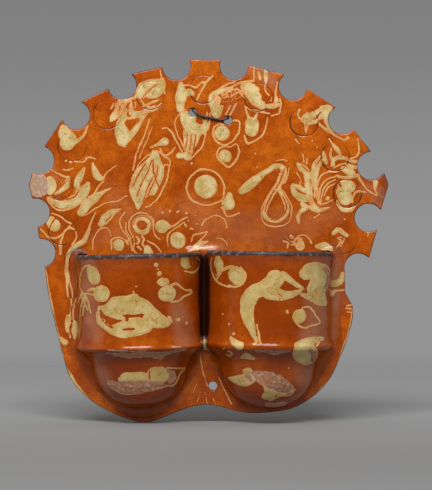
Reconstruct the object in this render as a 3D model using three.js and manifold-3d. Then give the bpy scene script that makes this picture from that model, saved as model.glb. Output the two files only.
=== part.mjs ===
// A wall cutlery holder in slip-marbled redware, in millimetres.
//
// The potter cut one flat clay slab to a round-topped outline, punched a row of notches round its edge
// with a round cutter and pressed the same cutter lightly inside each tooth. A wheel-thrown pot with a
// ledge was cut in half from rim to base, and a half was luted to the slab on each side of the middle.
// Coils of soft clay close the seams. A coated wire goes through two holes near the top, and its ends,
// twisted together behind the slab, hang it on a nail.
//
// X runs to the viewer's right, Y into the wall and Z up. The origin is on the flat back, between the two
// wire holes. Places on the slab are [x, z].
import * as THREE from "three";
import { mergeVertices } from "three/addons/utils/BufferGeometryUtils.js";
import Module from "manifold-3d";

const wasm = await Module();
wasm.setup();

// The slab and the round cutter.
const SLAB_THICKNESS = 8;
const EDGE_ROUNDING = 1.2;
const CUTTER_RADIUS = 12;
const STAMP_DEPTH = 0.6;
const STAMP_WIDTH = 1.4;

// The half pots: the middle of each rim, how far its outer side hangs down, and how much taller than the
// thrown profile it dried.
const LEFT_POCKET = { rim: [-58.1, -117.2], sag: 1.4, stretch: 1 };
const RIGHT_POCKET = { rim: [54, -115], sag: -0.9, stretch: 1.02 };
const POT_FACETS = 48;

// The luting coils. Fired pieces that touch keep a hairline of air.
const SIDE_FILLET = 8;
const BASE_FILLET = 2.2;
const SEAM_GAP = 0.3;

// The holes, and the hanging wire, which rides high in its two holes.
const LEFT_WIRE_HOLE = [-11.8, 2.7];
const RIGHT_WIRE_HOLE = [18.3, -4.0];
const WIRE_HOLE_RADIUS = 3.65;
const LOWER_HOLE = [5.5, -229.8];
const LOWER_HOLE_RADIUS = 3.9;
const WIRE_RADIUS = 0.9;
const WIRE_RISE = 2.1;
const TWIST = { x: 2.6, y: 2.95, foot: 19, top: 33, turns: 2, radius: 1.35 };

// The straight outer edge of each tooth, clockwise from the lower left. Two teeth have a bent edge.
const TEETH = [
  [[-142.4, -105.7], [-143.7, -93.8]],
  [[-148.3, -70.8], [-151.3, -58.9], [-148.3, -47.9]],
  [[-137.7, -25.8], [-123.7, -4.5]],
  [[-105.4, 12.5], [-82.0, 23.9]],
  [[-61.6, 36.3], [-36.1, 42.2]],
  [[-13.2, 47.7], [12.3, 47.3]],
  [[34.9, 43.1], [64.6, 35.4]],
  [[85.8, 22.7], [108.4, 8.2]],
  [[125.4, -11.8], [139.8, -30.0]],
  [[152.6, -52.1], [155.0, -58.5], [149.2, -77.6]],
  [[144.1, -100.6], [139.0, -118.9]],
];

// Centres of the twelve punched notches.
const NOTCHES = [
  [-140.5, -116.7], [-145.4, -82.3], [-141.7, -37.8], [-111.2, 0.4], [-71.7, 26.0], [-25.5, 42.2],
  [23.4, 42.5], [73.5, 25.2], [115.8, -3.6], [140.2, -42.5], [138.0, -86.7], [129.3, -129.1],
];

// Centres of the eleven stamped rings, one inside each tooth.
const STAMPS = [
  [-122.5, -98.0], [-125.8, -59.8], [-114.2, -26.7], [-84.6, 0.6], [-47.5, 17.0], [-2.5, 22.2],
  [44.2, 15.4], [82.9, -5.4], [109.4, -35.3], [119.8, -66.2], [116.0, -105.3],
];

// Below the last notch a knife cut runs straight down, and then the outline curves round the wavy foot.
const KNIFE_CUT = [[117.8, -129], [117.8, -150]];
const LOWER_OUTLINE = [
  [124.5, -162], [124.3, -173], [119.2, -191], [113.2, -207], [103, -226.8], [87, -241.4], [70, -249.9],
  [49, -252.6], [35.7, -252.9], [23, -250.6], [7, -246.1], [-7, -246.1], [-20.3, -249.9], [-46.4, -260],
  [-63, -259.2], [-80.8, -252.5], [-100, -241.1], [-114.4, -226], [-121.3, -207.5], [-129.6, -173.7],
  [-135.2, -148.2], [-137.7, -129.1],
];

// Outside of the thrown pot, [radius, height under the rim]: a rolled rim, a nearly straight wall that
// flares to a sharp ledge, then the belly drawn in below it and turned under to the base.
const RIM = [[51.6, -0.1], [53.3, -0.5], [54.3, -2.2], [53.7, -4.8]];
const WALL = [[52.9, -9], [52.4, -24], [52.2, -48], [52.3, -66], [52.9, -73], [54.0, -78.8]];
const BELLY = [
  [53.8, -80.2], [47.5, -84.4], [42.8, -91], [40.4, -98.7], [38.6, -106], [35.8, -112.4], [31.8, -117.6],
];
const UNDERSIDE = [[31, -118.8], [25.6, -123.6], [16.5, -128], [7, -130]];
const BASE_DEPTH = -130.4;

// Inside of the pot, from the rim down to the middle of the floor.
const INSIDE = [
  [49.8, -0.8], [48.4, -3.4], [46.8, -9], [46.0, -24], [45.8, -60], [46.2, -73.5], [42.4, -82.5],
  [36.8, -90.5], [34.4, -98], [32.4, -105.5], [28.6, -112.2], [21.8, -118.4], [11.8, -122.6],
];
const FLOOR_DEPTH = -123.8;

const FRONT_FACE = -SLAB_THICKNESS;
const vectors = (points) => points.map(([x, y]) => new THREE.Vector2(x, y));
const smooth = (points, divisions) => new THREE.SplineCurve(vectors(points)).getPoints(divisions);

// A closed three.js mesh as a solid that can be cut, without the triangles that a pole squeezes flat.
function solidFrom(geometry) {
  const bare = geometry.clone();
  bare.deleteAttribute("normal");
  bare.deleteAttribute("uv");
  const merged = mergeVertices(bare, 1e-4);
  const index = merged.index.array;
  const triangles = [];
  for (let i = 0; i < index.length; i += 3) {
    const [a, b, c] = index.slice(i, i + 3);
    if (a !== b && b !== c && c !== a) triangles.push(a, b, c);
  }
  return new wasm.Manifold(
    new wasm.Mesh({
      numProp: 3,
      vertProperties: Float32Array.from(merged.attributes.position.array),
      triVerts: Uint32Array.from(triangles),
    }),
  );
}

// A cut solid as a three.js geometry again.
function geometryFrom(solid) {
  const { vertProperties, triVerts } = solid.getMesh();
  const geometry = new THREE.BufferGeometry();
  geometry.setAttribute("position", new THREE.Float32BufferAttribute(vertProperties, 3));
  geometry.setIndex(new THREE.Uint32BufferAttribute(triVerts, 1));
  geometry.computeVertexNormals();
  return geometry;
}

// The slab as the knife leaves it, before the punch: the tooth edges run on to meet inside each notch.
function blankOutline() {
  const runOn = 3;
  const points = [];
  for (const edge of TEETH) {
    const tooth = vectors(edge);
    const entry = tooth[0].clone().sub(tooth[1]).setLength(runOn).add(tooth[0]);
    const exit = tooth.at(-1).clone().sub(tooth.at(-2)).setLength(runOn).add(tooth.at(-1));
    points.push(entry, ...tooth.slice(1, -1), exit);
  }
  return new THREE.Shape([...points, ...vectors(KNIFE_CUT), ...smooth(LOWER_OUTLINE, 50)]);
}

// A hole turns the other way to the outline, which runs clockwise.
function roundHole([x, z], radius) {
  return new THREE.Path().absarc(x, z, radius, 0, 2 * Math.PI, false);
}

// What the cutter takes out of the slab's edge.
function punch([x, z]) {
  const plug = new THREE.CylinderGeometry(CUTTER_RADIUS, CUTTER_RADIUS, 4 * SLAB_THICKNESS, 32);
  return solidFrom(plug.translate(x, 0, z));
}

// The mark of the cutter's edge pressed lightly in: a ring with a V section across the front face.
function stamp([x, z]) {
  const half = STAMP_WIDTH / 2;
  const section = vectors([
    [CUTTER_RADIUS - half, -STAMP_DEPTH],
    [CUTTER_RADIUS + half, -STAMP_DEPTH],
    [CUTTER_RADIUS, STAMP_DEPTH],
    [CUTTER_RADIUS - half, -STAMP_DEPTH],
  ]);
  return solidFrom(new THREE.LatheGeometry(section, 28).translate(x, FRONT_FACE, z));
}

function slab() {
  const outline = blankOutline();
  outline.holes.push(
    roundHole(LEFT_WIRE_HOLE, WIRE_HOLE_RADIUS),
    roundHole(RIGHT_WIRE_HOLE, WIRE_HOLE_RADIUS),
    roundHole(LOWER_HOLE, LOWER_HOLE_RADIUS),
  );
  const blank = new THREE.ExtrudeGeometry(outline, {
    depth: SLAB_THICKNESS - 2 * EDGE_ROUNDING,
    bevelThickness: EDGE_ROUNDING,
    bevelSize: EDGE_ROUNDING,
    bevelOffset: -EDGE_ROUNDING,
    bevelSegments: 2,
    curveSegments: 8,
  });
  blank.translate(0, 0, EDGE_ROUNDING);
  blank.rotateX(Math.PI / 2);
  const cuts = [...NOTCHES.map(punch), ...STAMPS.map(stamp)];
  return geometryFrom(cuts.reduce((clay, cut) => clay.subtract(cut), solidFrom(blank)));
}

// The pot's outside as a curve, from the rim's top to the edge of the flat base.
const POT_OUTSIDE = [...smooth(RIM, 4), ...smooth(WALL, 9), ...smooth(BELLY, 9), ...smooth(UNDERSIDE, 4)];

// Half the thrown pot, cut from rim to base, with its cut edge in the plane y = 0.
function halfPot() {
  const base = new THREE.Vector2(0, BASE_DEPTH);
  const floor = new THREE.Vector2(0, FLOOR_DEPTH);
  const section = [base, ...POT_OUTSIDE.toReversed(), ...smooth(INSIDE, 16), floor];
  const whole = new THREE.LatheGeometry(section, POT_FACETS);
  whole.rotateX(Math.PI / 2);
  const reach = 600;
  const wallSide = new THREE.BoxGeometry(reach, reach, reach);
  wallSide.translate(0, reach / 2, 0);
  return geometryFrom(solidFrom(whole).subtract(solidFrom(wallSide)));
}

// A solid skinned over closed rings that have as many points each, facing out, with its ends closed.
function loft(rings) {
  const count = rings[0].length;
  const faces = [];
  for (let r = 0; r + 1 < rings.length; r++) {
    for (let k = 0; k < count; k++) {
      const a = r * count + k;
      const b = r * count + ((k + 1) % count);
      faces.push([a, b, a + count], [b, b + count, a + count]);
    }
  }
  const last = (rings.length - 1) * count;
  for (let k = 1; k + 1 < count; k++) {
    faces.push([0, k + 1, k], [last, last + k, last + k + 1]);
  }
  const geometry = new THREE.BufferGeometry();
  geometry.setAttribute("position", new THREE.Float32BufferAttribute(rings.flat().flatMap((p) => [...p]), 3));
  geometry.setIndex(faces.flat());
  if (solidFrom(geometry).volume() < 0) geometry.setIndex(faces.flatMap(([a, b, c]) => [a, c, b]));
  geometry.computeVertexNormals();
  return geometry;
}

// The luting coil round one pot, from under the rim on its outer side, round the base, and up to the
// ledge on its inner side. outer is -1 for a pot whose outer side is its left, and 1 for its right.
function lutingCoil(outer) {
  const seam = POT_OUTSIDE.filter((p) => p.y < RIM.at(-1)[1]);
  const belowLedge = seam.filter((p) => p.y < BELLY[1][1]);
  const path = [
    ...seam,
    new THREE.Vector2(0, BASE_DEPTH),
    ...belowLedge.toReversed().map((p) => new THREE.Vector2(-p.x, p.y)),
  ];
  const steps = 5;
  const rings = path.map((point, i) => {
    const along = path[Math.min(i + 1, path.length - 1)].clone().sub(path[Math.max(i - 1, 0)]).normalize();
    const away = new THREE.Vector2(-along.y, along.x);
    const belly = THREE.MathUtils.smoothstep(-point.y, -BELLY[2][1], -UNDERSIDE[0][1]);
    const size = THREE.MathUtils.lerp(SIDE_FILLET, BASE_FILLET, belly);
    const section = [[0, 0]];
    for (let k = 0; k <= steps; k++) {
      const turn = (k / steps) * (Math.PI / 2);
      section.push([size * (1 - Math.sin(turn)), size * (1 - Math.cos(turn))]);
    }
    return section.map(([out, up]) => {
      const p = point.clone().addScaledVector(away, out + SEAM_GAP);
      return new THREE.Vector3(outer * p.x, -up - SEAM_GAP, p.y);
    });
  });
  return loft(rings);
}

// Puts a point of a pot's seam, [radius, height], where the hung pot has it on the slab.
function seamPlace(pocket, side, { x, y }) {
  const turned = new THREE.Vector2(side * x, y * pocket.stretch);
  turned.rotateAround(new THREE.Vector2(0, 0), THREE.MathUtils.degToRad(pocket.sag));
  return turned.add(new THREE.Vector2(...pocket.rim));
}

// Where a pot's side meets the slab at the height z.
function seamAt(pocket, side, z) {
  const seam = POT_OUTSIDE.map((p) => seamPlace(pocket, side, p));
  const i = seam.findIndex((p) => p.y <= z);
  const share = (z - seam[i - 1].y) / (seam[i].y - seam[i - 1].y);
  return THREE.MathUtils.lerp(seam[i - 1].x, seam[i].x, share);
}

// The clay pressed into the valley between the pots, from just under the rims to just above the ledges,
// hollowed along its middle.
function valleyCoil() {
  const [top, foot] = [-121, -191];
  const [levels, steps] = [12, 6];
  const [middleDepth, sideDepth] = [3, 6.5];
  const clear = SEAM_GAP + 0.1;
  const rings = [];
  for (let r = 0; r <= levels; r++) {
    const z = THREE.MathUtils.lerp(top, foot, r / levels);
    const left = seamAt(LEFT_POCKET, 1, z) + clear;
    const right = seamAt(RIGHT_POCKET, -1, z) - clear;
    const ring = [new THREE.Vector3(left, -SEAM_GAP, z), new THREE.Vector3(right, -SEAM_GAP, z)];
    for (let k = 0; k <= steps; k++) {
      const across = 1 - (2 * k) / steps;
      const x = THREE.MathUtils.lerp(left, right, (1 + across) / 2);
      const depth = THREE.MathUtils.lerp(middleDepth, sideDepth, across * across);
      ring.push(new THREE.Vector3(x, -depth, z));
    }
    rings.push(ring);
  }
  return loft(rings);
}

// One strand of the twist behind the slab, from its foot up to its cut end.
function strand(start) {
  const points = [];
  const steps = 8 * TWIST.turns;
  const turnAt = (k) => start + (k / steps) * 2 * Math.PI * TWIST.turns;
  for (let k = 0; k <= steps; k++) {
    points.push(
      new THREE.Vector3(
        TWIST.x + TWIST.radius * Math.cos(turnAt(k)),
        TWIST.y + TWIST.radius * Math.sin(turnAt(k)),
        THREE.MathUtils.lerp(TWIST.foot, TWIST.top, k / steps),
      ),
    );
  }
  const splay = 1.6 * Math.cos(turnAt(steps));
  points.push(points.at(-1).clone().add(new THREE.Vector3(splay, 0.4, 2.6)));
  return points;
}

// The wire's centre line, from one cut end to the other: down one strand, through a hole to the front,
// across to the other hole, and back up the other strand.
function wireLine() {
  const front = FRONT_FACE - WIRE_RADIUS - 0.7;
  const back = WIRE_RADIUS + 0.7;
  const leg = ([x, z]) => {
    const lean = TWIST.x - x;
    return [
      new THREE.Vector3(x + 0.3 * lean, back + 0.4, z + WIRE_RISE + 6.4),
      new THREE.Vector3(x + 0.06 * lean, back + 0.2, z + WIRE_RISE + 2.4),
      new THREE.Vector3(x, 0, z + WIRE_RISE),
      new THREE.Vector3(x, FRONT_FACE / 2, z + WIRE_RISE),
      new THREE.Vector3(x, FRONT_FACE - 0.6, z + WIRE_RISE),
    ];
  };
  const [left, right] = [LEFT_WIRE_HOLE, RIGHT_WIRE_HOLE];
  const span = (share, drop) =>
    new THREE.Vector3(
      THREE.MathUtils.lerp(left[0], right[0], share),
      front,
      THREE.MathUtils.lerp(left[1], right[1], share) + WIRE_RISE - drop,
    );
  const across = [span(0.08, 2.2), span(0.2, 3.4), span(0.5, 3.3), span(0.8, 3.1), span(0.93, 1.8)];
  const points = [
    ...strand(Math.PI).toReversed(),
    ...leg(left),
    ...across,
    ...leg(right).toReversed(),
    ...strand(0),
  ];
  return new THREE.CatmullRomCurve3(points, false, "centripetal");
}

// The least gap between stretches of the wire that are further apart along it than a tight bend.
function leastGap(line) {
  const samples = line.getSpacedPoints(400);
  const step = line.getLength() / 400;
  const apart = Math.ceil((6 * WIRE_RADIUS) / step);
  let least = Infinity;
  samples.forEach((a, i) => {
    for (const b of samples.slice(i + apart)) least = Math.min(least, a.distanceTo(b));
  });
  return least - 2 * WIRE_RADIUS;
}

function hangingWire() {
  const sides = 8;
  const section = new THREE.Shape(
    Array.from({ length: sides }, (_, k) => {
      const turn = (k / sides) * 2 * Math.PI;
      return new THREE.Vector2(WIRE_RADIUS * Math.cos(turn), WIRE_RADIUS * Math.sin(turn));
    }),
  );
  const line = wireLine();
  console.log("wire length", line.getLength().toFixed(1), "least gap to itself", leastGap(line).toFixed(2));
  return new THREE.ExtrudeGeometry(section, { steps: 130, extrudePath: line, bevelEnabled: false });
}

// The fired, lead-glazed red clay, and the dark coating of the wire.
const glazedRedware = new THREE.MeshStandardMaterial({ color: 0xa8521c, roughness: 0.22, metalness: 0 });
const coatedWire = new THREE.MeshStandardMaterial({ color: 0x16201c, roughness: 0.45, metalness: 0.1 });

function named(name, geometry, material) {
  const mesh = new THREE.Mesh(geometry, material);
  mesh.name = name;
  return mesh;
}

// A pocket and its coil, hung on the slab's face as the potter pressed them on.
function hungPocket(side, pocket, outer) {
  const hung = new THREE.Group();
  hung.add(
    named(`${side}_pocket`, halfPot(), glazedRedware),
    named(`${side}_luting_coil`, lutingCoil(outer), glazedRedware),
  );
  hung.position.set(pocket.rim[0], FRONT_FACE, pocket.rim[1]);
  hung.rotation.y = -THREE.MathUtils.degToRad(pocket.sag);
  hung.scale.z = pocket.stretch;
  return hung;
}

const valley = named("valley_luting_coil", valleyCoil(), glazedRedware);
valley.position.y = FRONT_FACE;

const holder = new THREE.Group();
holder.add(
  named("back_plate", slab(), glazedRedware),
  hungPocket("left", LEFT_POCKET, -1),
  hungPocket("right", RIGHT_POCKET, 1),
  valley,
  named("hanging_wire", hangingWire(), coatedWire),
);

export default holder;
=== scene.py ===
# %% [markdown]
# # A wall cutlery holder in slip-marbled redware
#
# The holder is a flat slab of red clay with a punched cog edge. Two half pots are luted to it, cream
# slip was marbled over the wet clay, and a honey-coloured lead glaze covers the front. It hangs by a dark
# wire.
#
# The notebook works in millimetres and turns them into metres only when a mesh is made. X runs to the
# viewer's right, Y goes into the wall and Z points up.

# %% Load the model that every finished piece is fitted to
import math

import bmesh
import bpy
import numpy as np
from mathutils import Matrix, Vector, geometry, kdtree


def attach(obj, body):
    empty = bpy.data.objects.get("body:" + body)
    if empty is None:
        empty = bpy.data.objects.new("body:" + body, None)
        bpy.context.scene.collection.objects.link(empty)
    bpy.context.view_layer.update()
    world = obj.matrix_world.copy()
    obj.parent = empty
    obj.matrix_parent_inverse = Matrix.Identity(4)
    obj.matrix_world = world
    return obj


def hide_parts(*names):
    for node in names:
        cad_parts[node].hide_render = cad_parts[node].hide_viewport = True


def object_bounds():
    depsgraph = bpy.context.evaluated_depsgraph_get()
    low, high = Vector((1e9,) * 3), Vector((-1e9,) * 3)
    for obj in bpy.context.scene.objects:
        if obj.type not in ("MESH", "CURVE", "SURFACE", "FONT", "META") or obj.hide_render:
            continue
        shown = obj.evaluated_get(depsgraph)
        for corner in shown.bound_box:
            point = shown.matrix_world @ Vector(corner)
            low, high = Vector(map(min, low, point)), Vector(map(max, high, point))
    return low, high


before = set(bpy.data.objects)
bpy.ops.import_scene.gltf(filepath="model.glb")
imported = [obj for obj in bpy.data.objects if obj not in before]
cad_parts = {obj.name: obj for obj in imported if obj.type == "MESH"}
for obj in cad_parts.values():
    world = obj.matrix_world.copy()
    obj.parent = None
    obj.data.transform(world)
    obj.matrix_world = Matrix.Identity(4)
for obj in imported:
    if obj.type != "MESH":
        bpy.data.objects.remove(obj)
cad_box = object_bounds()
MM = 0.001
print("nodes:", ", ".join(sorted(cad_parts)))

# %% [markdown]
# ## Camera
#
# The holder was photographed from straight in front with a long lens, so its pockets look almost flat. A
# short lens close by would bulge them. The lens follows from the width of the picture at the slab's face.

# %% The camera, level with the rims
SLAB_FRONT = -8.0
PHOTO_SIZE = (432, 490)
MM_PER_PX = 0.85
PHOTO_ZERO = (206.5, 115.65)
CAMERA_DISTANCE = 1800.0
EYE_X = (PHOTO_SIZE[0] / 2 - PHOTO_ZERO[0]) * MM_PER_PX
EYE_Z = (PHOTO_ZERO[1] - PHOTO_SIZE[1] / 2) * MM_PER_PX

camera_data = bpy.data.cameras.new("camera")
camera_data.sensor_fit = "VERTICAL"
camera_data.sensor_height = 36.0
camera_data.lens = camera_data.sensor_height * CAMERA_DISTANCE / (PHOTO_SIZE[1] * MM_PER_PX)
camera = bpy.data.objects.new("camera", camera_data)
camera.location = Vector((EYE_X, SLAB_FRONT - CAMERA_DISTANCE, EYE_Z)) * MM
camera.rotation_euler = (math.pi / 2, 0, 0)
bpy.context.scene.collection.objects.link(camera)
bpy.context.scene.camera = camera
print("lens", round(camera_data.lens, 1), "mm")

# %% [markdown]
# ## Lines, noise and distance
#
# Marbled slip is drawn with three small tools: a smooth line through a few points, a seeded noise that
# bends it, and the distance from any point of the clay to the nearest edge of slip.

# %% A smooth line through a few points, and smooth noise
TRAIL_CUTS = 6
TABLE_SIZE = 64


def through(given):
    """Points on a smooth curve that passes through the given ones."""
    if len(given) < 3:
        return given
    padded = np.vstack([2 * given[0] - given[1], given, 2 * given[-1] - given[-2]])
    t = np.linspace(0, 1, TRAIL_CUTS, endpoint=False)[:, None]
    spans = []
    for a, b, c, d in zip(padded, padded[1:], padded[2:], padded[3:]):
        bend = (2 * a - 5 * b + 4 * c - d) * t**2 + (3 * b - a - 3 * c + d) * t**3
        spans.append(b + 0.5 * ((c - a) * t + bend))
    return np.vstack([*spans, given[-1:]])


def ripple(places, size, seed):
    """Smooth random values from -1 to 1 that change over about `size` millimetres."""
    table = np.random.default_rng(seed).uniform(-1, 1, (TABLE_SIZE, TABLE_SIZE))
    grid = places / size + 10 * TABLE_SIZE
    cell = np.floor(grid).astype(int)
    share = grid - cell
    share = share * share * (3 - 2 * share)
    (i, j), (s, t) = cell.T % TABLE_SIZE, share.T
    i2, j2 = (i + 1) % TABLE_SIZE, (j + 1) % TABLE_SIZE
    low = table[i, j] * (1 - s) + table[i2, j] * s
    high = table[i, j2] * (1 - s) + table[i2, j2] * s
    return low * (1 - t) + high * t


def sway(places, size, seed):
    """Smooth random steps across and up, which bend a line that is drawn through the places."""
    return np.stack([ripple(places, size, seed), ripple(places, size, seed + 1)], axis=1)


def smoothstep(x, low, high):
    """0 below low, 1 above high and smooth between."""
    t = np.clip((x - low) / (high - low), 0, 1)
    return t * t * (3 - 2 * t)


# %% The distance to a trail of slip
FAR = 9.0


def to_trail(places, trail):
    """Distance from each place to the edge of a trail of (x, z, half width); negative inside it."""
    distance = np.full(len(places), FAR)
    reach = FAR + trail[:, 2].max()
    low, high = trail[:, :2].min(0) - reach, trail[:, :2].max(0) + reach
    near = np.flatnonzero(np.all((places > low) & (places < high), axis=1))
    if len(near) == 0:
        return distance
    spot = places[near]
    best = np.hypot(*(spot - trail[0, :2]).T) - trail[0, 2]
    for a, b in zip(trail, trail[1:]):
        span = b[:2] - a[:2]
        length = max(float(span @ span), 1e-9)
        share = np.clip((spot - a[:2]) @ span / length, 0, 1)
        gap = np.hypot(*(spot - a[:2] - share[:, None] * span).T)
        best = np.minimum(best, gap - (a[2] + share * (b[2] - a[2])))
    distance[near] = np.minimum(best, FAR)
    return distance


def nearest(places, trails):
    """The distance to the nearest of several trails."""
    distance = np.full(len(places), FAR)
    for trail in trails:
        distance = np.minimum(distance, to_trail(places, trail))
    return distance


def covered(places, trails, low, high):
    """0 at `low` millimetres inside the trails' edge or less, 1 at `high` or more, smooth between."""
    return smoothstep(-nearest(places, trails), low, high)
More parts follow.
